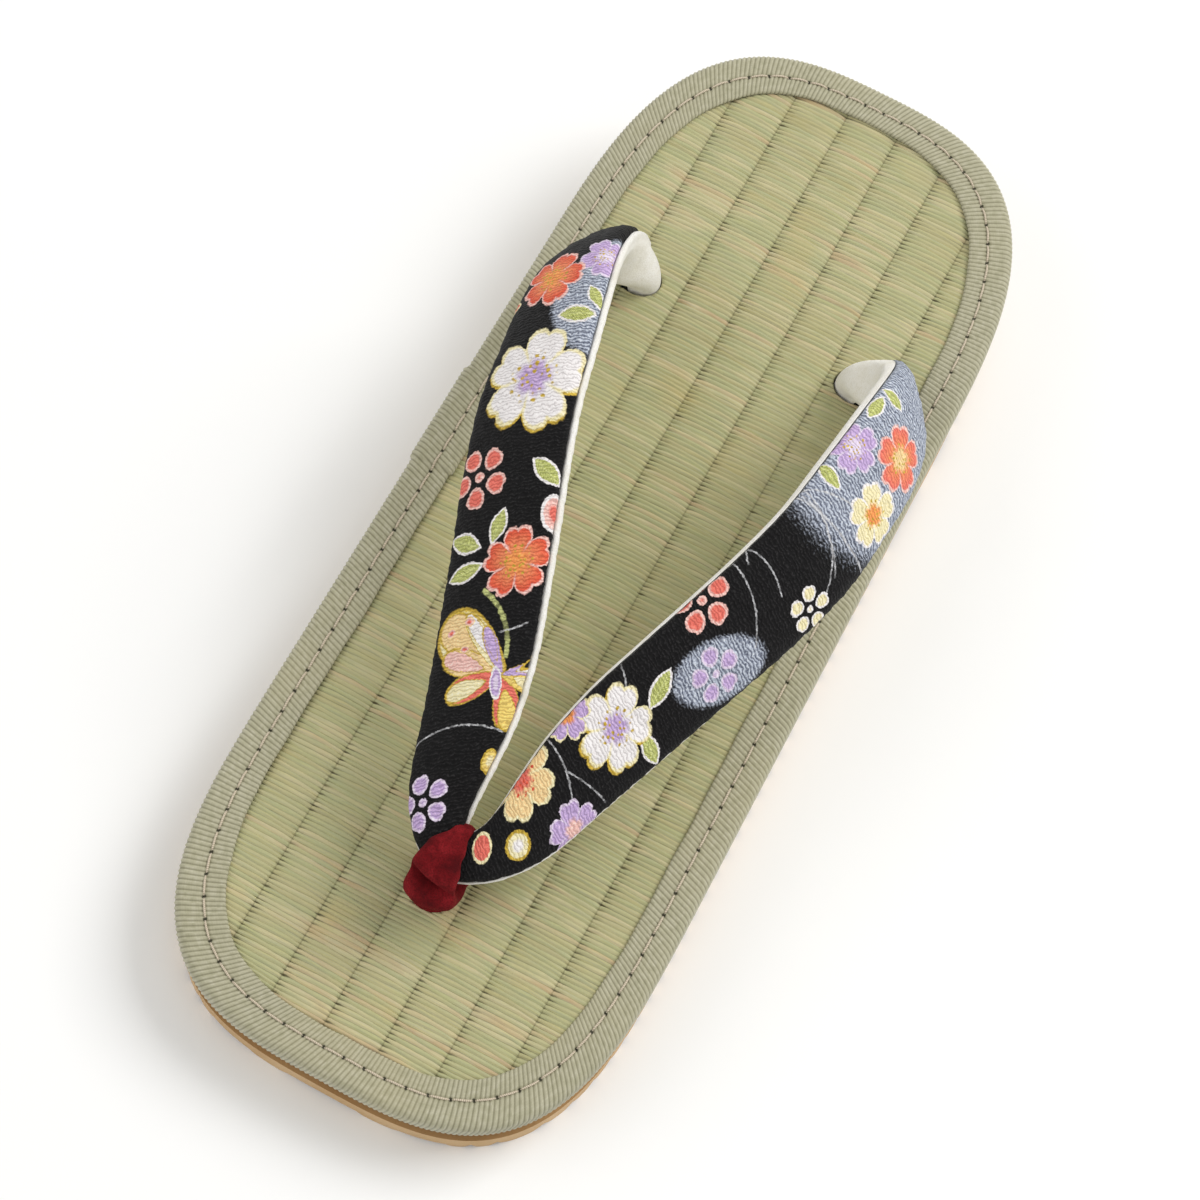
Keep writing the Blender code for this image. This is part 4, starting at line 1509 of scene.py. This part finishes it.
ARM_SECTIONS = tuple(ArmSection(*row) for row in (
    (0.545, 0.4900, -0.092, 0.545, 0.4380, -0.092, 0.72, 1.45, 0.00),
    (0.548, 0.4930, 0.030, 0.552, 0.4340, 0.030, 0.84, 1.50, 0.03),
    (0.563, 0.4930, 0.170, 0.600, 0.4150, 0.130, 0.98, 1.45, 0.12),
    (0.590, 0.4750, 0.370, 0.713, 0.3920, 0.230, 1.02, 1.25, 0.26),
    (0.612, 0.4280, 0.610, 0.825, 0.3640, 0.340, 1.00, 1.05, 0.40),
    (0.600, 0.3550, 0.800, 0.888, 0.3130, 0.440, 1.00, 1.00, 0.50),
    (0.560, 0.2600, 0.930, 0.905, 0.2320, 0.540, 1.00, 1.00, 0.68),
    (0.512, 0.1600, 0.985, 0.888, 0.1360, 0.610, 1.00, 1.00, 0.84),
    (0.458, 0.0550, 0.990, 0.855, 0.0240, 0.650, 1.00, 1.00, 0.96),
    (0.380, -0.0450, 0.965, 0.768, -0.0960, 0.640, 1.00, 1.00, 1.02),
    (0.293, -0.1400, 0.920, 0.672, -0.1980, 0.610, 1.00, 1.00, 1.04),
    (0.205, -0.2350, 0.860, 0.578, -0.2960, 0.570, 0.98, 0.98, 1.02),
    (0.124, -0.3250, 0.790, 0.492, -0.3880, 0.530, 0.96, 0.96, 0.98),
    (0.068, -0.4180, 0.710, 0.414, -0.4700, 0.490, 0.92, 0.92, 0.92),
    (0.050, -0.4930, 0.625, 0.345, -0.5450, 0.455, 0.88, 0.88, 0.84),
    (0.042, -0.5480, 0.540, 0.272, -0.5980, 0.430, 0.84, 0.84, 0.76),
    (0.028, -0.5760, 0.485, 0.176, -0.6400, 0.415, 0.82, 0.82, 0.68),
    (0.013, -0.5880, 0.455, 0.084, -0.6620, 0.400, 0.80, 0.80, 0.62),
))
JOINT_SECTION = ArmSection(0.0, -0.5920, 0.445, 0.0, -0.6700, 0.395, 0.80, 0.80, 0.60)


@dataclass(frozen=True)
class StrapLine:
    """The run of both arms, from the right rear hole over the joint to the left rear hole."""

    plan: SolePlan
    arch: float = 0.0370
    lean: float = 0.0055
    slimming: float = 0.955
    tuck: float = 0.0014
    crepe_crown: float = 0.0039
    lining_crown: float = 0.0034
    spacing: float = 0.0006
    fine: int = 40
    softening: int = 8

    def edges(self, row: ArmSection, side: int) -> tuple[Vector, Vector]:
        """Inner and outer edge points of one section on one side."""
        made = []
        for across, along, up in ((row.inner_across, row.inner_along, row.inner_up),
                                  (row.outer_across, row.outer_along, row.outer_up)):
            spot_y = along * self.plan.length / 2
            spot_x = side * across * self.plan.toe_width / 2 + row.lean * self.lean
            made.append(Vector((spot_x, spot_y, self.plan.mat_top(spot_y) + up * self.arch)))
        middle = (made[0] + made[1]) / 2
        inner, outer = (middle + (spot - middle) * self.slimming for spot in made)
        if side > 0:
            outer.x -= self.tuck * row.lean ** 2
        return inner, outer

    def frames(self) -> np.ndarray:
        """Even sections along both arms.

        Returns:
            Rows of inner edge, outer edge, crepe share and lining share: 8 columns.
        """
        rows = []
        for side, table in ((1, ARM_SECTIONS), (1, (JOINT_SECTION,)), (-1, ARM_SECTIONS[::-1])):
            for row in table:
                inner, outer = self.edges(row, side)
                rows.append((*inner, *outer, row.crepe, row.lining))
        table = np.array(rows)
        padded = np.concatenate([table[:1], table, table[-1:]])
        first, second, third, fourth = padded[:-3], padded[1:-2], padded[2:-1], padded[3:]
        share = (np.arange(self.fine) / self.fine)[None, :, None]
        linear = ((third - first) * 0.5)[:, None]
        square = (first - second * 2.5 + third * 2.0 - fourth * 0.5)[:, None]
        cube = ((fourth - first) * 0.5 + (second - third) * 1.5)[:, None]
        curve = second[:, None] + linear * share + square * share ** 2 + cube * share ** 3
        curve = np.concatenate([curve.reshape(-1, table.shape[1]), table[-1:]])
        middle = (curve[:, :3] + curve[:, 3:6]) / 2
        run = lengths_along(middle)
        spots = np.linspace(0.0, run[-1], round(run[-1] / self.spacing) + 1)
        even = np.stack([np.interp(spots, run, column) for column in curve.T], -1)
        return binomial(even, self.softening)

    @staticmethod
    def directions(frames: np.ndarray) -> tuple[np.ndarray, np.ndarray]:
        """Unit vectors across each section, from inner to outer edge, and out of the crepe."""
        travel = unit(np.gradient(frames[:, :3] + frames[:, 3:6], axis=0))
        width = unit(frames[:, 3:6] - frames[:, :3])
        return width, unit(binomial(np.cross(travel, width), 10))

    def lay(self, frames: np.ndarray, reach: np.ndarray, rise: np.ndarray) -> np.ndarray:
        """Points that reach across each section and rise out of it by so much."""
        width, outward = self.directions(frames)
        middle = (frames[:, :3] + frames[:, 3:6]) / 2
        return (middle[:, None] + width[:, None] * reach[..., None]
                + outward[:, None] * rise[..., None])

    @staticmethod
    def flat_cut(frames: np.ndarray) -> tuple[np.ndarray, np.ndarray]:
        """Lays the band out flat, as its cloth was cut, with the joint at the origin.

        Args:
            frames: The even sections.

        Returns:
            Middle points and unit vectors towards the outer edge, in metres on the flat cloth.
        """
        inner, outer = frames[:, :3], frames[:, 3:6]
        middle = (inner + outer) / 2
        width = np.linalg.norm(outer - inner, axis=1)
        advance = np.linalg.norm(np.diff(middle, axis=0), axis=1)
        longer = (np.linalg.norm(np.diff(outer, axis=0), axis=1)
                  - np.linalg.norm(np.diff(inner, axis=0), axis=1))
        turn = -longer / ((width[1:] + width[:-1]) / 2)
        heading = np.concatenate([[0.0], np.cumsum(turn)])
        joint = len(frames) // 2
        heading += math.pi - heading[joint]
        steps = (heading[1:] + heading[:-1]) / 2
        run = np.stack([np.cos(steps) * advance, np.sin(steps) * advance], -1)
        spots = np.concatenate([np.zeros((1, 2)), np.cumsum(run, axis=0)])
        spots -= spots[joint]
        return spots, np.stack([-np.sin(heading), np.cos(heading)], -1)


@dataclass
class Upper:
    """The two padded arms: printed crepe above, velvet lining below with its rolled edges.

    under_share and under_lift run across the crepe's underside, as shares of the half width and
    of crepe_edge. roll_out and roll_up_mm run up a rolled edge, rim_inner and rim_outer are its
    swell on the right and on the left arm.
    """

    line: StrapLine
    crepe_edge: float = 0.0010
    lining_edge: float = 0.0008
    fullness: float = 0.8
    crepe_points: int = 56
    lining_points: int = 30
    flat_lift: float = 0.35
    lump: float = 0.00022
    pucker: float = 0.00016
    rim_inner: tuple[float, float] = (0.00010, 0.00085)
    rim_outer: tuple[float, float] = (0.00045, 0.00020)
    rim_change: float = 0.012
    under_share: tuple[float, ...] = (0.97, 0.86, 0.5, 0.0, -0.5, -0.86, -0.97)
    under_lift: tuple[float, ...] = (0.55, 0.35, 0.35, 0.35, 0.35, 0.35, 0.55)
    tuck_mm: tuple[float, ...] = (1.0, 2.0, 4.0, 5.0, -4.0, -2.0, -1.0)
    lining_start: float = 0.16
    ripple: float = 0.18
    roll_out: tuple[float, ...] = (0.30, 0.85, 1.0, 0.80, 0.25, -0.55)
    roll_up_mm: tuple[float, ...] = (-0.95, -0.55, -0.05, 0.38, 0.60, 0.30)
    flat_share: tuple[float, ...] = (0.86, 0.45, 0.0, -0.45, -0.86)
    rib_turn_right: float = -54.0
    rib_turn_left: float = 40.0
    # Lining velvet: nap, painted sheen and painted shade
    lining_tones: tuple[Triple, ...] = ((247, 244, 236), (252, 250, 246), (226, 221, 206))

    def crepe(self, motifs_right: tuple[Motif, ...],
              motifs_left: tuple[Motif, ...]) -> bpy.types.Object:
        """Builds the printed crepe of both arms.

        Each arm has one finish for its rear half and one for its front half, with the motifs
        that reach there. One finish with all of an arm's motifs is too long for the renderer.

        Args:
            motifs_right: The print on the wearer's left-hand arm, at +X.
            motifs_left: The print on the other arm.

        Returns:
            The piece.
        """
        frames = self.line.frames()
        spots, aside = self.line.flat_cut(frames)
        half = np.linalg.norm(frames[:, 3:6] - frames[:, :3], axis=1) / 2
        crown = self.line.crepe_crown * frames[:, 6]
        angle = np.linspace(0, math.pi, self.crepe_points)
        reach = -np.cos(angle)[None, :] * half[:, None]
        swell = np.sin(angle)[None, :] ** self.fullness
        rise = self.crepe_edge + (crown[:, None] - self.crepe_edge) * swell
        steps = np.hypot(np.diff(reach, axis=1), np.diff(rise, axis=1))
        offset = np.concatenate([np.zeros((len(frames), 1)), np.cumsum(steps, axis=1)], axis=1)
        offset -= offset[:, -1:] / 2
        cloth = spots[:, None] + aside[:, None] * offset[..., None]
        bulge = np.sin(angle)[None, :] ** 0.7
        lumps = (waver(cloth[..., 1] * 420.0 + 1.2 * waver(cloth[..., 0] * 300.0, 2.0), 0.3)
                 + 0.6 * waver(cloth[..., 1] * 1150.0 + cloth[..., 0] * 500.0, 4.1))
        rise = rise + self.lump * lumps * bulge
        run = np.arange(len(frames)) * self.line.spacing
        edge_ripple = waver(run * 1500.0, 0.9)[:, None] * np.abs(np.cos(angle))[None, :] ** 8
        reach = reach + np.sign(reach) * edge_ripple * self.pucker
        under_reach = half[:, None] * np.array(self.under_share)[None, :]
        under_lift = np.array(self.under_lift) * self.crepe_edge
        under_rise = np.broadcast_to(under_lift, under_reach.shape)
        reach = np.concatenate([reach, under_reach], axis=1)
        rise = np.concatenate([rise, under_rise], axis=1)
        rings = self.line.lay(frames, reach, rise)
        tucked = np.array(self.tuck_mm) * MM
        beyond = np.where(tucked > 0, offset[:, -1:] + tucked, offset[:, :1] + tucked)
        offset = np.concatenate([offset, beyond, offset[:, :1]], axis=1)
        chart = (spots[:, None] + aside[:, None] * offset[..., None]) / MM
        right, left = (motifs_right, self.rib_turn_right), (motifs_left, self.rib_turn_left)
        parts = {"right_rear": right, "right_front": right, "left_front": left, "left_rear": left}
        last = len(frames) - 1
        finishes = []
        for part, (name, (motifs, rib_turn)) in enumerate(parts.items()):
            first, end = part * last // len(parts), (part + 1) * last // len(parts) + 2
            area = chart[first:end].reshape(-1, 2)
            near = tuple(motif for motif in motifs if motif.touches(area))
            finishes.append(CrepeFinish(f"printed_crepe_{name}", near, rib_turn).make())
        row = np.repeat(np.arange(last), rings.shape[1])
        slots = (row * len(parts) // last).astype(np.int32)
        piece = Skin("crepe_straps", rings, False, "cloth", chart).build(finishes, slots)
        return hand_over(piece, "printed_crepe", "straps")

    def lining(self) -> bpy.types.Object:
        """Builds the velvet underside with the rolled edges that show beside the crepe.

        Returns:
            The piece.
        """
        frames = self.line.frames()
        half = np.linalg.norm(frames[:, 3:6] - frames[:, :3], axis=1)[:, None] / 2
        crown = (self.line.lining_crown * frames[:, 7])[:, None]
        angle = np.linspace(self.lining_start, math.pi - self.lining_start, self.lining_points)
        angle = angle[None, :]
        reach = -np.cos(angle) * half
        rise = -(self.lining_edge + (crown - self.lining_edge) * np.sin(angle) ** self.fullness)
        run = np.arange(len(frames)) * self.line.spacing
        ripple = 1.0 + self.ripple * waver(run * 1300.0, 2.2)[:, None]
        left_share = np.clip((run - run[-1] / 2) / self.rim_change + 0.5, 0, 1)[:, None]

        def rim(side: int, swell: tuple[float, float]) -> tuple[np.ndarray, np.ndarray]:
            """Reach and rise of a rolled edge, from its foot to its top."""
            out = np.array([self.roll_out])
            out = out * (swell[0] + (swell[1] - swell[0]) * left_share)
            up = np.array(self.roll_up_mm) * MM
            return side * (half + out * ripple), np.broadcast_to(up, (len(half), len(up)))

        inner_reach, inner_rise = rim(-1, self.rim_inner)
        outer_reach, outer_rise = rim(1, self.rim_outer)
        flat_reach = half * np.array([self.flat_share])
        flat_rise = np.full(flat_reach.shape, -self.lining_edge * self.flat_lift)
        reach = np.concatenate([inner_reach[:, ::-1], reach, outer_reach, flat_reach], 1)
        rise = np.concatenate([inner_rise[:, ::-1], rise, outer_rise, flat_rise], 1)
        finish = VelvetFinish("lining_velvet", *self.lining_tones, 160.0, 0.7).make()
        piece = Skin("velvet_lining", self.line.lay(frames, reach, rise)).build([finish])
        return hand_over(piece, "lining_velvet", "strap_lining")


@dataclass(frozen=True)
class LoopSection:
    """The loop's reach to either side and its thickness at an angle round it."""

    angle_deg: float
    right: float
    left: float
    thick: float


@dataclass
class ToePost:
    """Velvet loop round the joint of the arms, with its stem into the front hole."""

    line: StrapLine
    sections: tuple[LoopSection, ...] = tuple(LoopSection(*row) for row in (
        (0.0, 0.0014, 0.0010, 0.0014), (45.0, 0.0024, 0.0014, 0.0022),
        (90.0, 0.0045, 0.0030, 0.0034), (125.0, 0.0049, 0.0046, 0.0042),
        (150.0, 0.0044, 0.0050, 0.0038), (180.0, 0.0045, 0.0060, 0.0058),
        (212.0, 0.0045, 0.0060, 0.0058), (270.0, 0.0044, 0.0044, 0.0034),
        (320.0, 0.0026, 0.0024, 0.0024), (360.0, 0.0014, 0.0010, 0.0014)))
    clearance: float = 0.0005
    swing: float = 0.0010
    fullness: float = 0.92
    rounds: int = 120
    sides: int = 44
    fold_angle: float = 150.0
    fold_bow: float = 12.0
    fold_depth: float = 0.0024
    fold_width: float = 8.0
    lump: float = 0.00022
    stem_radius: float = 0.0050
    stem_depth: float = 0.0034
    stem_rise: float = 0.0012
    stem_points: int = 40
    # Toe post velvet: nap, painted sheen and painted shade
    velvet_tones: tuple[Triple, ...] = ((104, 12, 18), (134, 26, 32), (62, 5, 9))

    def shape(self, angle: float) -> Triple:
        """Reach to the right and left and thickness at an angle round the loop, in degrees."""
        for first, second in zip(self.sections, self.sections[1:]):
            if angle <= second.angle_deg:
                share = (angle - first.angle_deg) / (second.angle_deg - first.angle_deg)
                ease = share * share * (3 - 2 * share)
                right = first.right + (second.right - first.right) * ease
                left = first.left + (second.left - first.left) * ease
                return right, left, first.thick + (second.thick - first.thick) * ease
        raise ValueError("angle outside the loop")

    def soft(self, value: float) -> float:
        """A rounded-square version of a sine or cosine."""
        return math.copysign(abs(value) ** self.fullness, value)

    def build(self) -> bpy.types.Object:
        """Builds the loop and its stem.

        Returns:
            The piece.
        """
        inner, outer = self.line.edges(JOINT_SECTION, 1)
        width = (outer - inner).normalized()
        outward = Vector((-1.0, 0.0, 0.0)).cross(width)
        above = self.line.crepe_crown * JOINT_SECTION.crepe
        below = self.line.lining_crown * JOINT_SECTION.lining
        half_long = (outer - inner).length / 2 + self.clearance
        half_tall = (above + below) / 2 + self.clearance
        centre = (inner + outer) / 2 + outward * (above - below) / 2
        rings = []
        for step in range(self.rounds):
            degrees = 360.0 * step / self.rounds
            right, left, thick = self.shape(degrees)
            turn = math.radians(degrees)
            out = (-width * math.cos(turn) * half_tall + outward * math.sin(turn) * half_long)
            out.normalize()
            base = (centre - width * half_long * math.cos(turn)
                    + outward * half_tall * math.sin(turn)
                    - Vector((self.swing, 0.0, 0.0)) * math.sin(turn / 2) ** 2)
            ring = []
            for side in range(self.sides):
                around = math.tau * side / self.sides
                reach = (left if math.cos(around) > 0 else right) * self.soft(math.cos(around))
                crease_at = self.fold_angle + self.fold_bow * math.cos(around)
                fold = self.fold_depth * math.exp(-((degrees - crease_at) / self.fold_width) ** 2)
                rise = thick / 2 * (1 + self.soft(math.sin(around)))
                upper = max(math.sin(around), 0.0)
                rise += self.lump * upper * float(waver(np.array(
                    degrees * 0.16 + 2.2 * math.cos(around * 2.0)), 1.1))
                ring.append(base + Vector((reach, 0.0, 0.0)) + out * (rise - fold * upper))
            rings.append([tuple(spot) for spot in ring])
        finish = VelvetFinish("post_velvet", *self.velvet_tones, 260.0, 0.30).make()
        post = Skin("velvet_toe_post", np.array(rings), True).build([finish])
        cut(post, self.stem(centre, outward, half_tall), "UNION")
        for face in post.data.polygons:
            face.use_smooth = True
        return hand_over(post, "post_velvet", "toe_post")

    def stem(self, centre: Vector, outward: Vector, half_tall: float) -> bpy.types.Object:
        """The stem from inside the loop's lower side down into the front hole."""
        thick = self.shape(270.0)[2]
        head = centre - outward * (half_tall + thick * 0.5)
        place = self.line.plan.post_place
        top = self.line.plan.mat_top(place[1])
        foot = Vector((*place, top - self.stem_depth))
        knee = Vector((*place, top + self.stem_rise))
        turn = np.linspace(0, math.tau, self.stem_points + 1)[:-1]
        circle = np.stack([np.cos(turn), np.sin(turn), np.zeros_like(turn)], -1)
        circle *= self.stem_radius
        rings = [np.array(foot.lerp(knee, share)) + circle for share in (0.0, 0.5, 1.0)]
        rings += [np.array(knee.lerp(head, share)) + circle * (1 + 0.02 * share)
                  for share in (0.33, 0.66, 1.0)]
        return Skin("stem", np.array(rings)).build([])


@dataclass
class Studio:
    """Pale floor, soft lamps and the camera."""

    eye: Triple = (0.067268, -0.235584, 0.548201)
    photo_right: Triple = (0.86209382, 0.5067487, 0.0)
    photo_up: Triple = (-0.44949158, 0.76468656, 0.46174861)
    photo_ahead: Triple = (-0.23399051, 0.39807063, -0.88701083)
    aim: tuple[float, float] = (0.09937, 0.07218)
    lens: float = 86.7
    sensor: float = 36.0
    floor_half: float = 3.0
    floor_drop: float = 0.00005
    air_colour: tuple[float, ...] = (1.0, 0.995, 0.985, 1.0)
    air_strength: float = 0.62

    def floor(self) -> None:
        """Lays the floor."""
        builder = bmesh.new()
        bmesh.ops.create_grid(builder, x_segments=8, y_segments=8, size=self.floor_half)
        mesh = bpy.data.meshes.new("studio_floor")
        builder.to_mesh(mesh)
        builder.free()
        mesh.materials.append(FloorFinish().make())
        made = stand_up("studio_floor", mesh)
        made.location.z = -self.floor_drop

    def lamp(self, name: str, spot: Triple, size: float,
             power: float) -> None:
        """Hangs one soft square lamp that faces the shoe."""
        light = bpy.data.lights.new(name, "AREA")
        light.shape = "SQUARE"
        light.size = size
        light.energy = power
        made = stand_up(name, light)
        made.location = spot
        made.rotation_euler = (-Vector(spot)).to_track_quat("-Z", "Y").to_euler()

    def lights(self) -> None:
        """Hangs the lamps and fills the room with soft light."""
        self.lamp("key_lamp", (0.9, 1.0, 1.5), 1.1, 24.0)
        self.lamp("fill_lamp", (-1.2, -0.8, 1.3), 1.4, 7.0)
        world = bpy.data.worlds.new("studio_air")
        world.use_nodes = True
        air = world.node_tree.nodes["Background"]
        air.inputs["Color"].default_value = self.air_colour
        air.inputs["Strength"].default_value = self.air_strength
        bpy.context.scene.world = world
        bpy.context.scene.view_settings.view_transform = "Standard"

    def camera(self) -> None:
        """Sets the camera where the photograph was taken from, turned to the shoe."""
        right, up, ahead = (Vector(row) for row in (self.photo_right, self.photo_up,
                                                    self.photo_ahead))
        look = (ahead + right * self.aim[0] - up * self.aim[1]).normalized()
        level = (up - look * up.dot(look)).normalized()
        aside = look.cross(level)
        lens = bpy.data.cameras.new("studio_camera")
        lens.lens = self.lens
        lens.sensor_width = self.sensor
        lens.clip_start = 0.01
        made = stand_up("studio_camera", lens)
        turn = Matrix((aside, level, -look)).transposed().to_4x4()
        made.matrix_world = Matrix.Translation(self.eye) @ turn
        bpy.context.scene.camera = made

    def build(self) -> None:
        """Sets up the studio."""
        self.floor()
        self.lights()
        self.camera()


def wing(root: tuple[float, float], reach: float, turn: float, slim: float, heart: Dye,
         body: Dye) -> tuple[Motif, ...]:
    """A wing from its root outward: a gold-edged petal with a second one inside it.

    Args:
        root: Its narrow end on the cloth, in mm.
        reach: How far it reaches from there, in mm.
        turn: Its direction, in degrees.
        slim: Its width as a share of its reach.
        heart: The colour inside.
        body: The colour round it.

    Returns:
        The two petals, the larger one first.
    """
    made = []
    for share, dye in ((1.0, body), (0.70, heart)):
        half = reach * share / 2
        across = root[0] + (reach * 0.96 - half) * math.cos(math.radians(turn))
        along = root[1] + (reach * 0.96 - half) * math.sin(math.radians(turn))
        made.append(Petal(across, along, half, turn, slim, dye, dye, Dye.GOLD, 0.93, 0.45))
    return tuple(made)


# Colours of the blossoms: heart, petal, tip, rim and dots
GILT = (Dye.GOLD, Dye.GOLD, Dye.GOLD, Dye.GOLD)
SNOW = (Dye.LAVENDER, Dye.WHITE, Dye.WHITE, Dye.CREAM, Dye.GOLD)
VIOLET = (Dye.LILAC, Dye.LAVENDER, Dye.LAVENDER, Dye.LILAC, Dye.GOLD)
SCARLET = (Dye.ORANGE, Dye.EMBER, Dye.RED, Dye.PINK, Dye.GOLD)
# Colours of the open flowers and of the loose petals
CORAL_SET = (Dye.CORAL, Dye.PINK)
VIOLET_SET = (Dye.LAVENDER, Dye.LILAC)
FALLEN = (Dye.CORAL, Dye.CORAL, Dye.CREAM)
WING_DOT = (Dye.CORAL, Dye.PINK, Dye.PEACH)
# Where the butterfly's wings meet, and each wing's reach, turn, slimness, heart and body
WING_ROOT = (-18.0, 30.2)
WINGS = (
    (19.8, 180.0, 0.50, Dye.PEACH, Dye.CREAM),
    (14.8, -160.0, 0.34, Dye.PINK, Dye.PEACH),
    (16.4, 166.0, 0.20, Dye.WHITE, Dye.CREAM),
    (11.6, 157.0, 0.22, Dye.LAVENDER, Dye.LAVENDER),
    (12.0, -123.0, 0.44, Dye.CREAM, Dye.CORAL),
    (12.0, -34.0, 0.42, Dye.YELLOW, Dye.CORAL),
    (8.6, 20.0, 0.40, Dye.CREAM, Dye.YELLOW),
    (9.4, 52.0, 0.26, Dye.WHITE, Dye.LAVENDER))

# The print in mm on the flat cut cloth, the joint at the origin and the heel at +Y
PRINT_RIGHT: tuple[Motif, ...] = (
    Mist(86.4, 79.0, 29.0, 44.0, slim=0.95),
    Mist(50.7, 32.8, 10.5, 16.0, slim=0.60),
    Leaf(84.3, 81.8, 3.6, 40.0),
    Leaf(89.5, 83.7, 3.2, 128.0),
    Leaf(71.9, 67.9, 3.5, -52.0),
    Blossom(77.7, 73.5, 5.6, 26.0, *VIOLET),
    Blossom(89.9, 71.7, 6.8, 90.0, Dye.PEACH, Dye.EMBER, Dye.CORAL, Dye.PINK, Dye.GOLD),
    Blossom(82.7, 60.8, 6.4, 101.0, Dye.ORANGE, Dye.CREAM, Dye.CREAM, Dye.WHITE, Dye.GOLD),
    Arc(43.4, 44.7, 31.0, 28.0, span=37.0),
    Arc(33.2, 10.5, 62.2, 51.0, span=21.8, width=0.32),
    Arc(56.7, 50.8, 16.3, 17.2, span=75.0),
    Arc(64.2, 37.7, 27.8, 77.0, span=30.0),
    Arc(25.3, 48.9, 30.0, 12.0, span=11.0),
    Arc(48.9, 42.1, 14.0, 46.0, span=60.0),
    Arc(36.5, 37.4, 21.5, 26.0, span=54.0),
    Arc(11.8, 26.4, 20.0, 19.0, span=16.0),
    Arc(3.0, 8.4, 18.2, 28.0, span=46.0),
    Arc(8.2, -11.5, 30.0, 58.0, span=19.0),
    OpenFlower(69.3, 43.4, 4.7, 33.0, Dye.CREAM, Dye.WHITE),
    OpenFlower(46.1, 45.4, 6.2, 37.0, *CORAL_SET),
    OpenFlower(49.9, 32.3, 5.4, 46.0, *VIOLET_SET),
    Leaf(38.3, 30.0, 4.2, 61.0),
    Leaf(37.2, 19.4, 3.8, 125.0),
    Blossom(29.0, 23.1, 7.9, 77.0, *GILT),
    Blossom(29.4, 23.5, 7.9, 77.0, *SNOW),
    Blossom(19.2, 26.0, 5.0, 23.0, Dye.ORANGE, Dye.LAVENDER, Dye.LAVENDER, Dye.CREAM),
    Blossom(9.5, 15.2, 7.6, 56.0, Dye.CORAL, Dye.PEACH, Dye.PEACH, Dye.CREAM, Dye.RED),
    Blossom(22.0, 6.3, 5.4, 41.0, Dye.PINK, Dye.LAVENDER, Dye.LAVENDER, Dye.LILAC),
    Petal(3.9, 2.3, 3.0, 103.0, 0.62, *FALLEN),
    Petal(10.6, 3.8, 2.8, 105.0, 0.90, Dye.WHITE, Dye.CREAM, Dye.GOLD))
PRINT_LEFT: tuple[Motif, ...] = (
    Mist(-58.0, 93.6, 12.2, -37.0, slim=0.75),
    Mist(-60.5, 108.0, 8.5, 20.0, slim=0.90),
    Leaf(-58.4, 110.6, 3.4, 62.0),
    Blossom(-65.0, 104.1, 5.8, 18.0, *VIOLET),
    Blossom(-71.2, 93.7, 7.6, 39.0, *SCARLET),
    Petal(-76.3, 84.3, 2.4, 28.0, 0.62, *FALLEN),
    Leaf(-58.6, 89.9, 4.4, 37.0),
    Leaf(-58.2, 95.3, 3.3, -20.0),
    Blossom(-55.9, 74.1, 11.2, -28.0, *GILT),
    Blossom(-56.2, 74.6, 11.2, -28.0, *SNOW),
    OpenFlower(-51.8, 53.7, 6.6, 17.0, *CORAL_SET),
    Leaf(-40.2, 62.5, 4.2, -5.0),
    Petal(-33.3, 57.6, 3.8, -42.0, 0.70, Dye.CORAL, Dye.PINK, Dye.WHITE),
    Leaf(-40.8, 49.3, 3.8, 115.0),
    Leaf(-44.7, 42.8, 4.4, -160.0),
    Leaf(-40.2, 38.9, 4.2, -123.0),
    Blossom(-32.4, 46.6, 7.1, 132.0, *SCARLET),
    *(petal for row in WINGS for petal in wing(WING_ROOT, *row)),
    Petal(-31.6, 33.2, 1.2, 20.0, 0.80, *WING_DOT),
    Petal(-33.4, 29.4, 1.1, 80.0, 0.80, *WING_DOT),
    Petal(-28.4, 29.0, 1.0, 40.0, 0.80, *WING_DOT),
    Petal(-17.8, 28.4, 3.4, -40.0, 0.34, Dye.LILAC, Dye.LAVENDER, Dye.WHITE),
    Petal(-15.2, 36.0, 3.4, 76.0, 0.26, Dye.INK, Dye.INK, Dye.GOLD, 0.70),
    Arc(-32.6, 23.2, 15.8, 66.0, span=56.0, width=0.60, dye=Dye.LEAF_PALE),
    Arc(-39.8, 48.7, 20.0, -34.0, span=14.0),
    Arc(-5.5, 5.5, 17.7, 134.0, span=62.0),
    Petal(-6.5, 17.6, 2.6, 131.0, 0.65, Dye.CREAM, Dye.YELLOW, Dye.GOLD),
    OpenFlower(-11.8, 5.3, 5.4, 2.0, *VIOLET_SET))


def main() -> None:
    """Builds every sub-assembly in order and then the studio."""
    logging.basicConfig(level=logging.INFO, format="%(message)s")
    plan = SolePlan()
    line = StrapLine(plan)
    Outsole(plan).build()
    Midsole(plan).build()
    RushMat(plan).build()
    Binding(plan).build()
    upper = Upper(line)
    upper.crepe(PRINT_RIGHT, PRINT_LEFT)
    upper.lining()
    ToePost(line).build()
    Studio().build()


if __name__ == "__main__":
    main()
